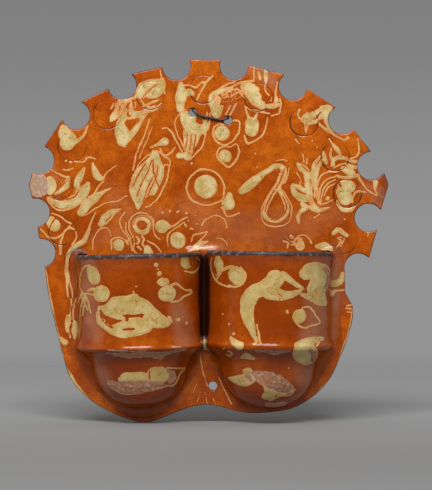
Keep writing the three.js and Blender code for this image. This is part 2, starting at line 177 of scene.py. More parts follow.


# %% [markdown]
# ## The marbled slip
#
# The potter dripped and trailed cream slip on wet clay and then tilted and jolted it, so drops grew
# tails, rings and feathered veins. Noise alone gives marbling, but not these drops. So each patch is laid
# as a trail of (across, down, half width) on the photograph's 432 x 490 frame, and turned into
# millimetres. Then noise bends the edges, and thin echo lines are added where slip ran out beside the
# broad patches.

# %% Broad patches on the slab, on the photograph's frame
SLAB_PATCHES = [
    # the left-hand teeth
    [(63.4, 129, 4), (65, 134, 6.6), (68, 139, 8.6), (67, 142, 8)],
    [(76, 141.5, 2.2), (81, 138, 1.6), (85, 132, 1.4), (88, 126, 0.9)],
    [(50, 180, 4), (51, 185, 6), (50, 191, 4.5)],
    [(68, 177, 1.8), (68, 184, 3), (62, 190, 2.4), (56, 194, 1.6)],
    [(84, 168, 1.2), (80, 176, 3.2), (77, 183, 3.2), (78, 190, 3)],
    [(88, 184, 2.2), (84, 191, 5.2), (77, 199, 6), (66, 204.5, 4.8), (56, 203, 3), (50, 198, 1.8)],
    [(93, 163, 1), (93.6, 168, 2.2), (96, 174, 4), (100, 178, 3.4), (104, 178, 1)],
    [(51, 222, 5.5), (54, 225, 6.5)],
    # the tooth left of the top, and the drop under it
    [(110.6, 121, 1.6), (113.6, 117.4, 3.6), (117.4, 112.6, 4.4), (119.6, 106, 3), (120, 102, 1.8)],
    [(119, 101, 1.6), (125, 101.2, 2.4), (132, 99, 2), (136, 96, 1.8), (139, 90, 3.6)],
    [(124, 105.5, 3.2), (123.4, 112, 4), (125, 117, 3.4), (120.6, 123, 4), (121.6, 132, 7),
     (123, 140, 6.2)],
    [(123, 140, 6.2), (124.4, 145, 2)],
    [(127.6, 139, 3.4), (133, 132, 3.2), (138.6, 125, 2.2), (144, 117, 1.4), (150, 109, 1.2)],
    [(131.4, 103.6, 1.6), (130.4, 109.4, 2.2), (133, 113.4, 3), (139.4, 113, 2.2), (146, 110, 1.4),
     (154, 106, 1)],
    [(129, 118.6, 1.4), (137, 116.4, 1.6), (146, 113, 1.2), (156, 109, 1)],
    # the tooth at upper left
    [(141.5, 86.4, 3.4), (141.4, 93, 3.8)],
    [(142, 85.6, 2.6), (152, 83, 3.2), (160.6, 80.8, 3.2)],
    [(141, 95, 4.6), (143, 88.5, 5.4), (149, 89.5, 9.2), (155, 88, 9.6), (160, 85, 6), (162.6, 80, 2.6)],
    [(143, 106.5, 0.9), (152, 102.5, 1.2), (159, 99.5, 0.9)],
    # round the hanging wire
    [(181, 84, 2.4), (181, 95, 5.6), (181, 106, 4.8), (179, 110, 2.6)],
    [(185, 93, 4.2), (190, 92, 3.6), (193, 94, 1.6)],
    [(183, 115, 3.4), (189, 120, 8.4), (195, 127, 11), (192, 137, 9), (189, 147, 5.6), (187, 157, 3.6)],
    [(208, 112, 1.8), (207, 121, 3), (204, 129, 4)],
    [(179, 155.5, 3), (184, 156, 2.4)],
    # the swirl between the wire and the right-hand tooth
    [(212, 96, 3), (216, 103, 7.4), (216, 110, 6.4), (217, 116, 2.6)],
    [(214, 94, 3), (222, 90, 2.6), (232, 88, 1.6)],
    [(245, 87, 4.4), (252, 93, 6.4), (258, 101, 6), (262, 106, 3.4)],
    [(249, 85, 3), (257, 90, 3)],
    [(266, 106, 2), (273, 106, 2.8), (278, 105, 2)],
    [(276, 101, 2.4), (276, 97, 1.4)],
    [(265.5, 69, 1.6), (266, 76, 2.3), (266, 82, 1.4)],
    [(258.5, 72, 1.2), (260.5, 79, 1.6)],
    # drops under the wire
    [(222, 133, 7.6)],
    [(252, 124, 6.8), (252, 130, 6.8)],
    [(225.5, 156.3, 6.4)],
    [(164.5, 141.5, 4.4), (158, 144.5, 1.8), (151, 148, 1)],
    [(206, 186.5, 11.8)],
    [(228, 203.5, 6.8), (229.5, 196, 3.4)],
    # the fan left of the middle
    [(154, 152, 1.8), (151.6, 163, 6.4), (145.6, 176, 11), (140.4, 188, 11), (138.6, 199, 5.6),
     (137.5, 208, 1.6)],
    [(156, 152, 2.2), (157, 161, 4), (159, 171, 5), (157, 180, 5.4), (152, 192, 4)],
    # slivers and drops above the left rim
    [(80.8, 213, 3.6), (87, 204.5, 5.2), (95, 198, 4.2), (103, 192, 1.8), (110, 188, 0.9)],
    [(101, 224.5, 2.6), (106.5, 218, 4.6), (113, 212.5, 3.6), (120, 209, 1)],
    [(135, 221.4, 2.2), (139.4, 217.8, 2.6), (145.6, 218.2, 2.8), (149.8, 223, 2.8), (149, 229, 2.4)],
    [(149, 229, 2.4), (144.4, 232.2, 2.4), (138.4, 231.2, 2.2), (135, 226.6, 2.2), (135, 221.4, 2.2)],
    [(136, 236.4, 1), (138.6, 239.6, 1.3), (136.8, 243.6, 0.9)],
    [(141.4, 235.6, 0.9), (143.6, 239, 1.1), (142, 243, 1), (143.8, 246, 0.8)],
    [(138, 246.4, 1.1), (141, 249.4, 1)],
    [(161.8, 226.6, 6.8), (166, 226.4, 4), (170, 227, 1.6)],
    [(177.6, 238.8, 7.1), (177.8, 241.8, 7.1)],
    [(118.7, 245, 6)],
    [(147.4, 248.6, 3.6), (148, 252.4, 5)],
    [(194, 247.5, 1.4), (199, 244, 2.6), (207.6, 241.6, 0.9)],
    # the right-hand teeth
    [(302.6, 118, 1.4), (306, 116.6, 3.4), (311, 116.4, 5.2), (317, 115, 6), (323, 112, 6.4),
     (328, 109, 5)],
    [(327, 112, 5), (328.6, 119, 5), (330, 126, 3.4), (333, 131.4, 1.6)],
    [(306, 121, 2.2), (311, 122.2, 2), (317, 121, 2)],
    [(323, 152.6, 1.6), (324.4, 157, 2.3), (326.4, 163, 1.4)],
    [(333.6, 144.6, 1.4), (337, 149.4, 2.4), (339.4, 153.4, 1.7)],
    [(333.4, 164.4, 1.8), (333, 161, 2.4), (336, 158.4, 2.2), (340.6, 157.6, 2.2), (345.6, 158.8, 1.6),
     (350.6, 161.2, 1.8), (356.4, 162, 1.8)],
    [(346, 165.4, 1.2), (351, 166.8, 2.2), (356, 167.4, 1.6)],
    [(343, 168.6, 2.2), (347.6, 171.4, 3.2), (352, 173, 3.6)],
    [(338.6, 176.4, 1.4), (345, 177.4, 1.8), (352, 176.6, 2), (357, 175.6, 1.6)],
    [(343.4, 186.6, 5.8), (348.4, 186.4, 6.2), (351.4, 188, 4.4)],
    [(344, 192, 7.6), (345.4, 198.4, 6.8)],
    [(376, 182, 2.8), (375.4, 187, 1.8), (375.2, 190, 0.9)],
    [(333, 233.5, 1.8), (339, 230, 2.6), (347, 235.5, 2)],
    [(317, 247, 2), (324, 246.5, 4.4), (331, 248.5, 2.6)],
    [(300, 240, 2.6), (300.5, 246, 5)],
    # the sliver and the loop right of the middle
    [(242, 190.6, 3.8), (250, 184.5, 5), (259, 177.4, 4), (267, 171.5, 2.6), (275, 166.6, 2.6),
     (281, 166.4, 2.4)],
    [(281, 166.4, 2.6), (284, 171, 3.2), (281.4, 178, 3.6), (277, 186, 3.2), (271.6, 195, 2.8),
     (266.6, 205, 2.4)],
    [(266.6, 205, 2.4), (265, 214, 2), (270.6, 220.6, 2), (280, 219.6, 2.2), (287, 212, 2.6),
     (286.2, 204, 2.8)],
    [(286.2, 204, 2.8), (282, 195.6, 2.2), (278, 189, 1.6)],
    # the branching patch at the right
    [(298, 164.4, 1.8), (302, 167.6, 3.6), (306, 171.4, 3.6), (308.4, 178, 4.4), (309.6, 187, 5.2),
     (311, 196, 4.8)],
    [(292.8, 187, 2.8), (295.6, 192, 4.2), (301, 196.6, 4.6), (309, 197.4, 4.4)],
    [(293, 184.6, 1.6), (299.4, 186.8, 2), (304, 190, 2.4)],
    [(313, 178, 2.8), (313.6, 169.6, 2.4), (316, 162, 1.8), (320, 157, 1.4)],
    [(315.4, 190, 1.6), (315.6, 178, 2), (318.6, 167, 1.8), (322, 160.6, 1.4)],
    [(310, 199, 2.2), (313, 204, 2.4), (317, 208.4, 2.2)],
    [(302, 203.4, 2.4), (305, 207.6, 3.2), (300.4, 212, 2), (298.4, 218, 1.9), (299, 222.5, 1.2)],
    [(308.6, 206, 1.6), (313.6, 209, 2.6), (319, 210, 2.4), (326, 208.6, 1.6), (330, 207.6, 0.8)],
    [(327.6, 198.8, 2.1)],
    # the flanks beside the pots
    [(89.4, 226, 1.2), (87, 234, 2.2), (83.4, 241, 2.8), (76.6, 245.6, 2.6), (70.4, 251, 2.3),
     (67.4, 259, 1.7)],
    [(67.4, 259, 1.7), (66.5, 271, 1.6), (67.5, 283, 1.2), (67.5, 297, 1)],
    [(68.5, 316, 1.6), (68, 323, 3), (67, 331, 1.6)],
    [(75.5, 322, 1.6), (75, 330, 3), (74.5, 337, 1.6)],
    [(61, 339, 2), (65, 342, 3)],
    [(343, 274, 2.2), (340, 281, 3.2), (333, 283.5, 3.6)],
    [(344, 290, 0.9), (336, 290.5, 1.4), (331, 294, 2.8)],
]

# %% Clay that shows through the patches
SLAB_GAPS = [
    [(197, 118, 1.4), (199.5, 121, 3), (202, 123, 1.4)],
    [(188, 101, 1.6), (193, 108, 3), (198, 113, 2)],
    [(186, 103, 1), (184, 111, 1)],
    [(206, 104, 2), (209, 112, 1.6), (208, 122, 1)],
    [(127, 124, 1.8), (129, 129, 1)],
    [(136, 105, 2.6), (133, 101, 1.6)],
    [(120, 106, 0.8), (119, 113, 0.8)],
    [(141, 99, 0.5), (149, 91, 0.5), (157, 84, 0.5)],
    [(264, 98.5, 2.4), (268, 99, 1.6)],
    [(224, 97, 2.4), (222, 104, 2)],
    [(55, 196, 0.7), (63, 193, 0.7), (70, 187, 0.6), (70, 180, 0.5)],
    [(67, 200, 0.5), (74, 197, 0.6), (79, 191, 0.6)],
    [(73, 193, 1.6), (75, 188, 1)],
    [(162, 196, 0.6), (154, 172, 0.6), (153, 160, 0.5)],
    [(143, 202, 0.5), (149, 186, 0.6), (153, 178, 0.5)],
    [(133, 186, 0.5), (139, 174, 0.6), (146, 163, 0.5)],
    [(137, 196, 0.4), (141.6, 184, 0.5), (148, 171.6, 0.5), (152, 160, 0.4)],
    [(146, 199, 0.4), (152, 187.6, 0.5), (157, 176, 0.5), (157.4, 166, 0.5)],
    [(160, 190, 0.4), (163, 180, 0.5)],
    [(184, 152, 0.5), (186.6, 142, 0.5), (187.4, 134, 0.4)],
    [(188.6, 154, 0.5), (190.6, 144, 0.5), (191.4, 134, 0.4)],
    [(193.4, 150, 0.5), (195, 142, 0.5), (195.6, 135, 0.4)],
    [(199, 149, 1.6), (201, 141, 2.4), (203, 135, 1)],
    [(106, 221, 0.5), (112, 215, 0.5)],
    [(296, 188.4, 0.5), (300.6, 192, 0.7), (305.6, 194, 0.4)],
    [(310, 179, 0.4), (312.6, 188, 0.5), (313.4, 198, 0.5), (316, 204, 0.5)],
    [(302, 165.6, 0.5), (305, 168.4, 0.5), (309.4, 172, 0.4)],
    [(309, 112.2, 0.5), (314, 110.2, 0.7), (319, 107.6, 0.6)],
    [(313, 119.6, 0.6), (317.6, 116.6, 0.9), (320.4, 112.4, 0.7)],
    [(339.4, 183, 1), (341, 186.4, 1.2)],
    [(338, 201, 0.6), (341, 205, 0.6), (348, 206.6, 0.6)],
    [(126, 106, 0.5), (127.6, 111, 0.6), (127.4, 116, 0.5)],
    [(49.4, 230, 0.5), (51, 224, 0.6), (55.6, 218.6, 0.5)],
    [(284.4, 169, 0.5), (281.6, 178, 0.7), (277, 186.4, 0.7), (271.4, 195.6, 0.7), (266.6, 205, 0.6),
     (265.4, 212, 0.4)],
    [(282.6, 197, 0.5), (286.4, 206, 0.7), (284.4, 214, 0.7), (277, 219.6, 0.6), (271, 219.6, 0.5)],
    [(133.6, 225, 0.4), (135.6, 219, 0.4), (142, 216, 0.4), (149, 218.6, 0.4), (151.4, 225, 0.4),
     (149, 231.4, 0.4)],
]

# %% Threads of slip on the slab
SLAB_THREADS = [
    [(74, 161, 0.8), (83, 162, 0.8), (88, 157.5, 0.9), (95.5, 158.5, 0.9)],
    [(65.5, 160.5, 1), (66, 160.6, 1)],
    [(70, 161.8, 1.2), (71, 161.8, 1.2)],
    [(63, 169, 0.9), (67, 169.5, 0.9), (73, 168, 0.7)],
    [(51, 170, 0.8), (59, 174, 0.9), (65, 176.5, 1), (70, 180, 0.8)],
    [(104, 177, 0.8), (108, 172, 0.7), (116, 166, 0.8)],
    [(89, 196.5, 0.8), (94, 193.5, 0.9), (98.5, 186.5, 0.9), (104, 181, 0.6)],
    [(84, 216, 0.5), (95, 209, 0.7), (107, 203, 0.7), (120, 200, 0.6), (127, 196, 1)],
    [(47, 198, 1), (50, 203, 1), (56, 209, 1), (65, 210.5, 0.9), (76, 206, 0.8), (84, 199, 0.7)],
    [(52, 214, 0.9), (59, 216, 0.9), (66.5, 221, 1), (71.5, 223.5, 0.9)],
    [(70, 226, 1), (63, 233, 1), (56, 238, 1), (48, 236.5, 0.9), (41, 229.5, 1)],
    [(59.5, 249, 0.8), (61.5, 238, 1), (65, 231.5, 1), (70, 228, 1.2), (75, 229, 0.9)],
    [(60.5, 244, 1.4), (60.5, 254, 1.2)],
    [(72, 245, 1), (76, 238.5, 0.9), (76.5, 231, 0.8)],
    [(89.4, 226, 1), (91.6, 219.6, 0.9), (96, 212, 0.7)],
    [(92.4, 249, 0.8), (93.6, 240, 0.8), (97.6, 231.6, 0.7), (103.6, 228, 0.7), (108, 229.4, 0.7),
     (111, 236.6, 0.6)],
    [(111, 250, 0.8), (111.5, 241, 0.8), (116, 237.5, 0.8), (123, 238.5, 0.8), (128.5, 244.5, 0.8)],
    [(124.5, 211.5, 0.8), (120, 219.5, 0.7), (121.5, 227.5, 0.8), (126.5, 235.5, 0.8), (130.4, 242, 0.8),
     (132.6, 251, 0.7)],
    [(133, 236.6, 0.7), (129.8, 230, 0.8), (129.4, 222.6, 0.9), (132.8, 215.8, 0.9), (139, 212.8, 0.8),
     (146, 213.4, 0.8)],
    [(146, 213.4, 0.8), (151.6, 217.6, 0.8), (154, 224, 0.6)],
    [(134.6, 243, 0.8), (133.6, 248.6, 0.9), (136, 253, 0.8)],
    [(130.6, 238, 0.6), (126.6, 230.6, 0.7), (126.4, 222, 0.6)],
    [(162.5, 128.5, 1), (167, 128, 1), (172, 134, 0.9), (178, 144, 0.9), (182, 152, 0.9)],
    [(160, 149, 0.8), (163.5, 155, 0.9), (170, 153.5, 0.9), (175.5, 147, 0.8)],
    [(159, 151.6, 0.8), (164, 156, 0.9), (169.4, 159.4, 1.1), (169.6, 165, 0.9), (165, 164.6, 0.8),
     (162.4, 170, 0.7)],
    [(169.6, 165, 0.9), (167.8, 176, 0.9), (164, 187, 0.9), (158.6, 197, 0.9), (151, 204.6, 0.9),
     (145, 207, 0.8)],
    [(150.6, 153.6, 0.6), (144, 158, 0.7), (137.4, 167, 0.7), (131.4, 179, 0.6)],
    [(150, 118, 0.7), (144, 136, 0.8), (137, 152, 0.9), (133, 170, 0.7)],
    [(155, 120, 0.4), (147, 140, 0.6), (139, 158, 0.6)],
    [(140, 118, 1), (148, 112, 1.2), (156, 109, 1)],
    [(140.4, 100.6, 0.8), (146, 105.6, 1), (154, 107.4, 0.9), (162, 103.4, 0.8)],
    [(184.5, 110, 0.8), (176.5, 117, 0.8), (175, 126, 0.8), (179, 138, 0.8), (184, 149, 0.8)],
    [(206.5, 130.5, 0.9), (204.5, 140, 0.9), (201.5, 148, 0.9), (195, 154.5, 1), (189, 160, 0.9)],
    [(209.5, 113, 0.8), (209.5, 123, 0.8), (208, 130, 0.8)],
    [(184, 85, 0.9), (190, 85, 0.9), (196, 87.3, 1), (201, 82.5, 1), (205, 82.5, 1.4), (213, 75.5, 1)],
    [(205, 84.5, 1.2), (200.5, 92.5, 1), (197, 99.5, 1)],
    [(211, 95.5, 1.8), (216, 92, 1.4)],
    [(254, 65.5, 0.9), (254, 80.5, 0.9)],
    [(265.5, 83.5, 0.9), (265.5, 90, 0.9), (269, 95.5, 1)],
    [(277, 81.5, 0.8), (276.5, 90, 0.9), (275.5, 96, 0.9)],
    [(219, 89, 0.8), (226, 84.5, 1), (235, 82, 1)],
    [(222, 92, 0.7), (233, 86.5, 1), (245, 82, 1.2), (254, 81, 1.2)],
    [(226, 93, 0.8), (235, 89.7, 0.9), (242, 91.7, 0.9), (248, 97, 0.9), (253, 104.5, 0.9),
     (260, 109, 0.8)],
    [(231, 96, 0.8), (238, 93, 0.8), (243, 96, 0.8)],
    [(244.5, 106, 0.9), (251.5, 110, 0.9), (260.5, 111.7, 0.9), (270, 114, 0.9)],
    [(279.5, 99, 1), (281, 106, 1.1), (278.5, 113.5, 1.1), (272, 116.5, 0.9)],
    [(245.5, 108, 1), (247, 115, 1.3), (249, 119, 2)],
    [(257, 114, 1.1), (255, 118, 1.8)],
    [(229, 118, 0.9), (233, 110, 1), (236, 103, 0.9)],
    [(226, 114, 0.9), (231, 106, 0.9)],
    [(213.5, 128, 0.9), (213, 135, 1), (216, 141, 1), (224, 145, 1), (231.5, 141.5, 0.9),
     (238.5, 133.5, 1)],
    [(238.5, 133.5, 1), (240, 124, 1), (237.5, 120.5, 0.9), (230, 121, 0.8)],
    [(214, 127, 0.9), (219, 124, 0.9), (224, 125, 0.7)],
    [(244.5, 135.5, 0.9), (246.8, 143.5, 1), (255.5, 140.5, 1), (263, 134.5, 1), (266.5, 127, 0.9),
     (268, 118, 0.8)],
    [(228, 146, 0.8), (220, 148.5, 0.9), (217, 154.5, 1), (220, 161.5, 1), (228.5, 167, 1),
     (235.5, 161.5, 1)],
    [(235.5, 161.5, 1), (239, 154.5, 1), (236.5, 144, 0.9), (230, 147, 0.8), (225, 147, 0.7)],
    [(191, 164, 1.6)],
    [(255.5, 153.5, 1.3)],
    [(257, 166.8, 1.1)],
    [(224, 212, 0.8), (229, 217, 0.8), (239, 213, 0.8)],
    [(221, 208, 0.9), (225, 211.5, 1)],
    [(162, 212.5, 1.5)],
    [(170, 211.5, 1.3)],
    [(177.5, 212.3, 1.3), (179, 211, 1)],
    [(186.5, 213.5, 1.5)],
    [(196, 215.5, 1)],
    [(196.5, 223.5, 1)],
    [(169, 227.6, 1.1), (175, 224.4, 1), (182, 220.2, 0.9), (187.4, 217.4, 0.8)],
    [(188.6, 220.6, 1)],
    [(184.4, 224.6, 1.1), (186.4, 226.6, 0.9)],
    [(193, 229.3, 0.9), (190, 228.5, 0.7)],
    [(168.4, 246.6, 0.6), (167.4, 238, 0.8), (170.5, 232, 0.8), (178, 226.4, 0.8), (184.6, 222, 0.7)],
    [(154, 221, 0.6), (153.4, 229, 0.7), (155.6, 236, 0.8), (160, 239.4, 0.6)],
    [(147, 240.6, 0.8), (154, 244.6, 0.9), (161, 252, 0.9)],
    [(201.6, 225, 1.1), (205.4, 219.6, 0.8), (213.4, 216.4, 0.7), (220.8, 216.6, 0.7),
     (225.6, 220.6, 0.7), (227, 228, 0.6)],
    [(190.6, 242, 0.7), (192.8, 235.6, 0.7), (200, 233.6, 0.8), (207, 231.4, 0.8), (204, 236.6, 0.8),
     (198.6, 241.6, 0.9)],
    [(216, 238, 0.5), (222, 238.4, 0.5), (226.4, 242.4, 0.6), (227.4, 247.4, 0.5)],
    [(188.6, 251.4, 0.9), (194, 249.4, 1.3), (203, 247.6, 1), (213, 246.6, 0.7)],
    [(299.4, 109.6, 1), (298.2, 115, 1.1), (300.4, 119, 1.2), (304, 122, 1)],
    [(305.2, 122, 1), (305.8, 133, 0.8)],
    [(308.4, 123, 0.8), (306.4, 131.6, 0.6)],
    [(319.6, 124, 1.2), (327.4, 130.6, 1.6), (335.6, 135.4, 1.2), (343.6, 139.8, 1.2), (347.8, 138, 1.8)],
    [(329, 138.5, 1), (332.2, 143.6, 0.9)],
    [(296, 139.5, 1), (299, 143.5, 0.8)],
    [(312, 140.8, 1.1)],
    [(317, 147.5, 1)],
    [(331.6, 147.4, 0.8), (330.6, 154, 1.2), (331.6, 160, 1.1), (331.4, 166, 0.9)],
    [(334, 167.6, 0.7), (339, 165.4, 0.9), (345, 163.4, 0.7)],
    [(357.4, 139, 0.9), (359, 147, 0.9), (358.6, 153, 1), (355.6, 157, 0.9), (350, 158.8, 0.8)],
    [(357.6, 174.6, 1.3), (359.6, 180, 1.3), (363.6, 185.6, 1), (370, 191.8, 0.8), (377.4, 196, 0.7)],
    [(377.4, 195, 0.8), (375, 190, 0.9)],
    [(352.4, 202, 0.9), (353.8, 195, 1), (358.6, 191, 1.2), (366, 192, 0.9)],
    [(336.4, 199.6, 0.8), (338.6, 206, 1.8), (344, 209.4, 2.4), (350.6, 209.6, 2), (354, 206, 1.1)],
    [(345, 219, 1)],
    [(337, 238, 0.7), (341, 241, 0.9), (337, 247, 0.7)],
    [(345, 239, 0.7), (341, 246, 0.7)],
    [(368.5, 233, 1.2), (368, 236, 0.8)],
    [(291, 235.5, 1.4), (293, 237, 1)],
    [(284, 241.5, 1.2), (288, 243, 0.9), (287, 248, 0.8)],
    [(294, 241, 0.9), (300, 235, 0.8), (307, 236.5, 0.8), (311.5, 243.5, 0.9)],
    [(287, 172, 0.7), (285, 180, 0.7), (280, 188, 0.7), (285, 194, 0.7), (291, 204, 0.6),
     (292, 215, 0.6)],
    [(292, 215, 0.6), (288.6, 222, 0.6), (281, 226, 0.7), (271, 226.4, 0.7), (263.4, 221.6, 0.7),
     (261.4, 213, 0.6)],
    [(261.4, 213, 0.6), (263, 204, 0.6), (268, 196, 0.6), (272.6, 187.6, 0.5)],
    [(289.4, 168, 0.5), (288, 176, 0.6), (284.6, 183, 0.5)],
    [(276, 161, 0.6), (282, 159.5, 0.7), (287, 161.5, 0.6)],
    [(316.8, 199, 0.8), (317.4, 185, 0.9), (321, 175.6, 1), (328, 171.4, 0.9), (337, 172, 0.8)],
    [(318, 203, 0.9), (320, 189, 1), (326, 180, 1), (338, 175.4, 0.8)],
    [(319.6, 205, 0.8), (322.4, 192, 0.9), (327.6, 184, 1), (335, 179.6, 0.8)],
    [(323.6, 196, 0.7), (328.6, 187.6, 0.9), (334.6, 183.6, 0.7)],
    [(322, 204, 0.8), (327, 203, 0.8), (333, 200, 0.6)],
    [(303.2, 153.6, 0.6), (303.8, 162, 0.9)],
    [(307, 157.6, 0.6), (306.8, 164, 0.8)],
    [(297, 172, 0.6), (300.6, 179, 0.6), (300, 184, 0.7)],
    [(314, 217.5, 0.8), (319.5, 214, 0.8)],
    [(67.8, 271, 0.9), (69.6, 281, 0.9), (72.4, 293, 0.9), (71.5, 305, 0.9), (70.5, 319, 0.8)],
    [(68.5, 330, 0.9), (70, 337, 0.9)],
    [(76.5, 298, 0.8), (74.5, 308, 0.8), (73.5, 320, 0.8)],
    [(347, 306, 1), (351, 305.5, 0.8)],
    [(346, 308.5, 0.7), (351, 309, 0.8)],
    [(348, 312, 0.9), (351, 312.5, 0.7)],
    [(338, 258, 0.8), (337.5, 263, 0.7)],
    [(337.5, 268, 0.7), (337, 273, 0.6)],
    [(200, 352, 0.4), (201.4, 362, 0.5), (204, 374, 0.6), (207.6, 387, 0.6)],
    [(212.6, 362, 0.3), (218, 376, 0.4), (224, 388, 0.5), (231, 404, 0.8)],
    [(204, 391, 0.3), (206.6, 400, 0.5), (208.6, 408, 0.3)],
    [(196.6, 384, 0.3), (193, 393, 0.3)],
    [(200, 392, 0.3), (196.6, 402, 0.4)],
    [(213, 398, 0.3), (216.6, 407, 0.4)],
]

# %% A ring of slip, bare and rubbed places, and places of painted sheen on the slab
SLAB_RINGS = [(206, 187.5, 18.6, 1.0)]
SLAB_BARE = [[(24, 184.5, 9), (33, 185, 11), (38, 185.5, 11.5)]]
SLAB_RUBBED = [
    [(384, 178, 3), (385, 187, 3), (381, 198, 5), (376, 205, 4)],
    [(374.6, 233.4, 1.6), (370, 234.6, 1)],
]
# painted sheen: pinkish reflections on some teeth, the right flank and where the rims meet
SLAB_PAINTED_SHEEN = [
    [(255, 70, 7), (266, 78, 7), (272, 82, 5)],
    [(362, 190, 5), (372, 190, 7), (380, 196, 7), (376, 204, 4)],
    [(336, 262, 4), (336, 300, 4), (334, 334, 4)],
    [(60, 206, 2), (52, 166, 3)],
    [(205, 246, 4), (222, 247, 3)],
]
print(len(SLAB_RUBBED), "rubbed places and", len(SLAB_PAINTED_SHEEN), "satin ones")

# %% Zones of the slab that are feathered with fine marbling, dulled with painted sheen, or edged with slip
SLAB_FEATHERS = [
    [(116, 108, 8), (130, 105, 8)],
    [(190, 150, 4)],
    [(218, 100, 7), (236, 94, 8), (246, 93, 5)],
    [(272, 102, 6)],
    [(311, 182, 3), (312, 203, 4)],
    [(281, 172, 3), (272, 200, 3)],
    [(147, 196, 4)],
    [(62, 182, 6)],
    [(59, 240, 5)],
    [(130, 240, 5)],
    [(70, 302, 3), (70, 330, 4)],
    [(340, 241, 6)],
    [(298, 243, 7), (286, 240, 5)],
]
# painted sheen: a pinkish veil of reflection on duller glaze
SLAB_DULL_AND_SHEEN = [
    [(190, 205, 12), (215, 225, 14), (262, 228, 18), (300, 226, 14), (335, 214, 8)],
    [(112, 190, 7), (126, 214, 10), (160, 216, 8)],
    [(100, 236, 8), (125, 232, 8)],
    [(262, 72, 6), (270, 76, 5)],
    [(336, 250, 6), (338, 300, 7)],
    [(232, 108, 5)],
]
SLAB_RIM_SLIP = [
    [(45, 268, 0.8), (50, 297, 1), (57, 330, 1.3), (64, 362, 1.6), (72, 378, 2), (80, 391, 2.3),
     (90, 402, 1.8)],
    [(90, 402, 1.8), (104, 413, 1.2), (130, 420, 0.9)],
    [(345, 292, 0.5), (352, 304, 0.8), (353, 312, 0.8), (346, 338, 0.7), (334, 372, 0.7),
     (318, 392, 0.6)],
    [(30, 174, 0.5), (50, 172, 0.5)],
    [(35, 225, 0.6), (37, 236, 0.5)],
    [(160, 70, 0.8), (163, 84, 0.8), (165, 94, 1)],
]
print(len(SLAB_PATCHES), "patches and", len(SLAB_THREADS), "threads on the slab")

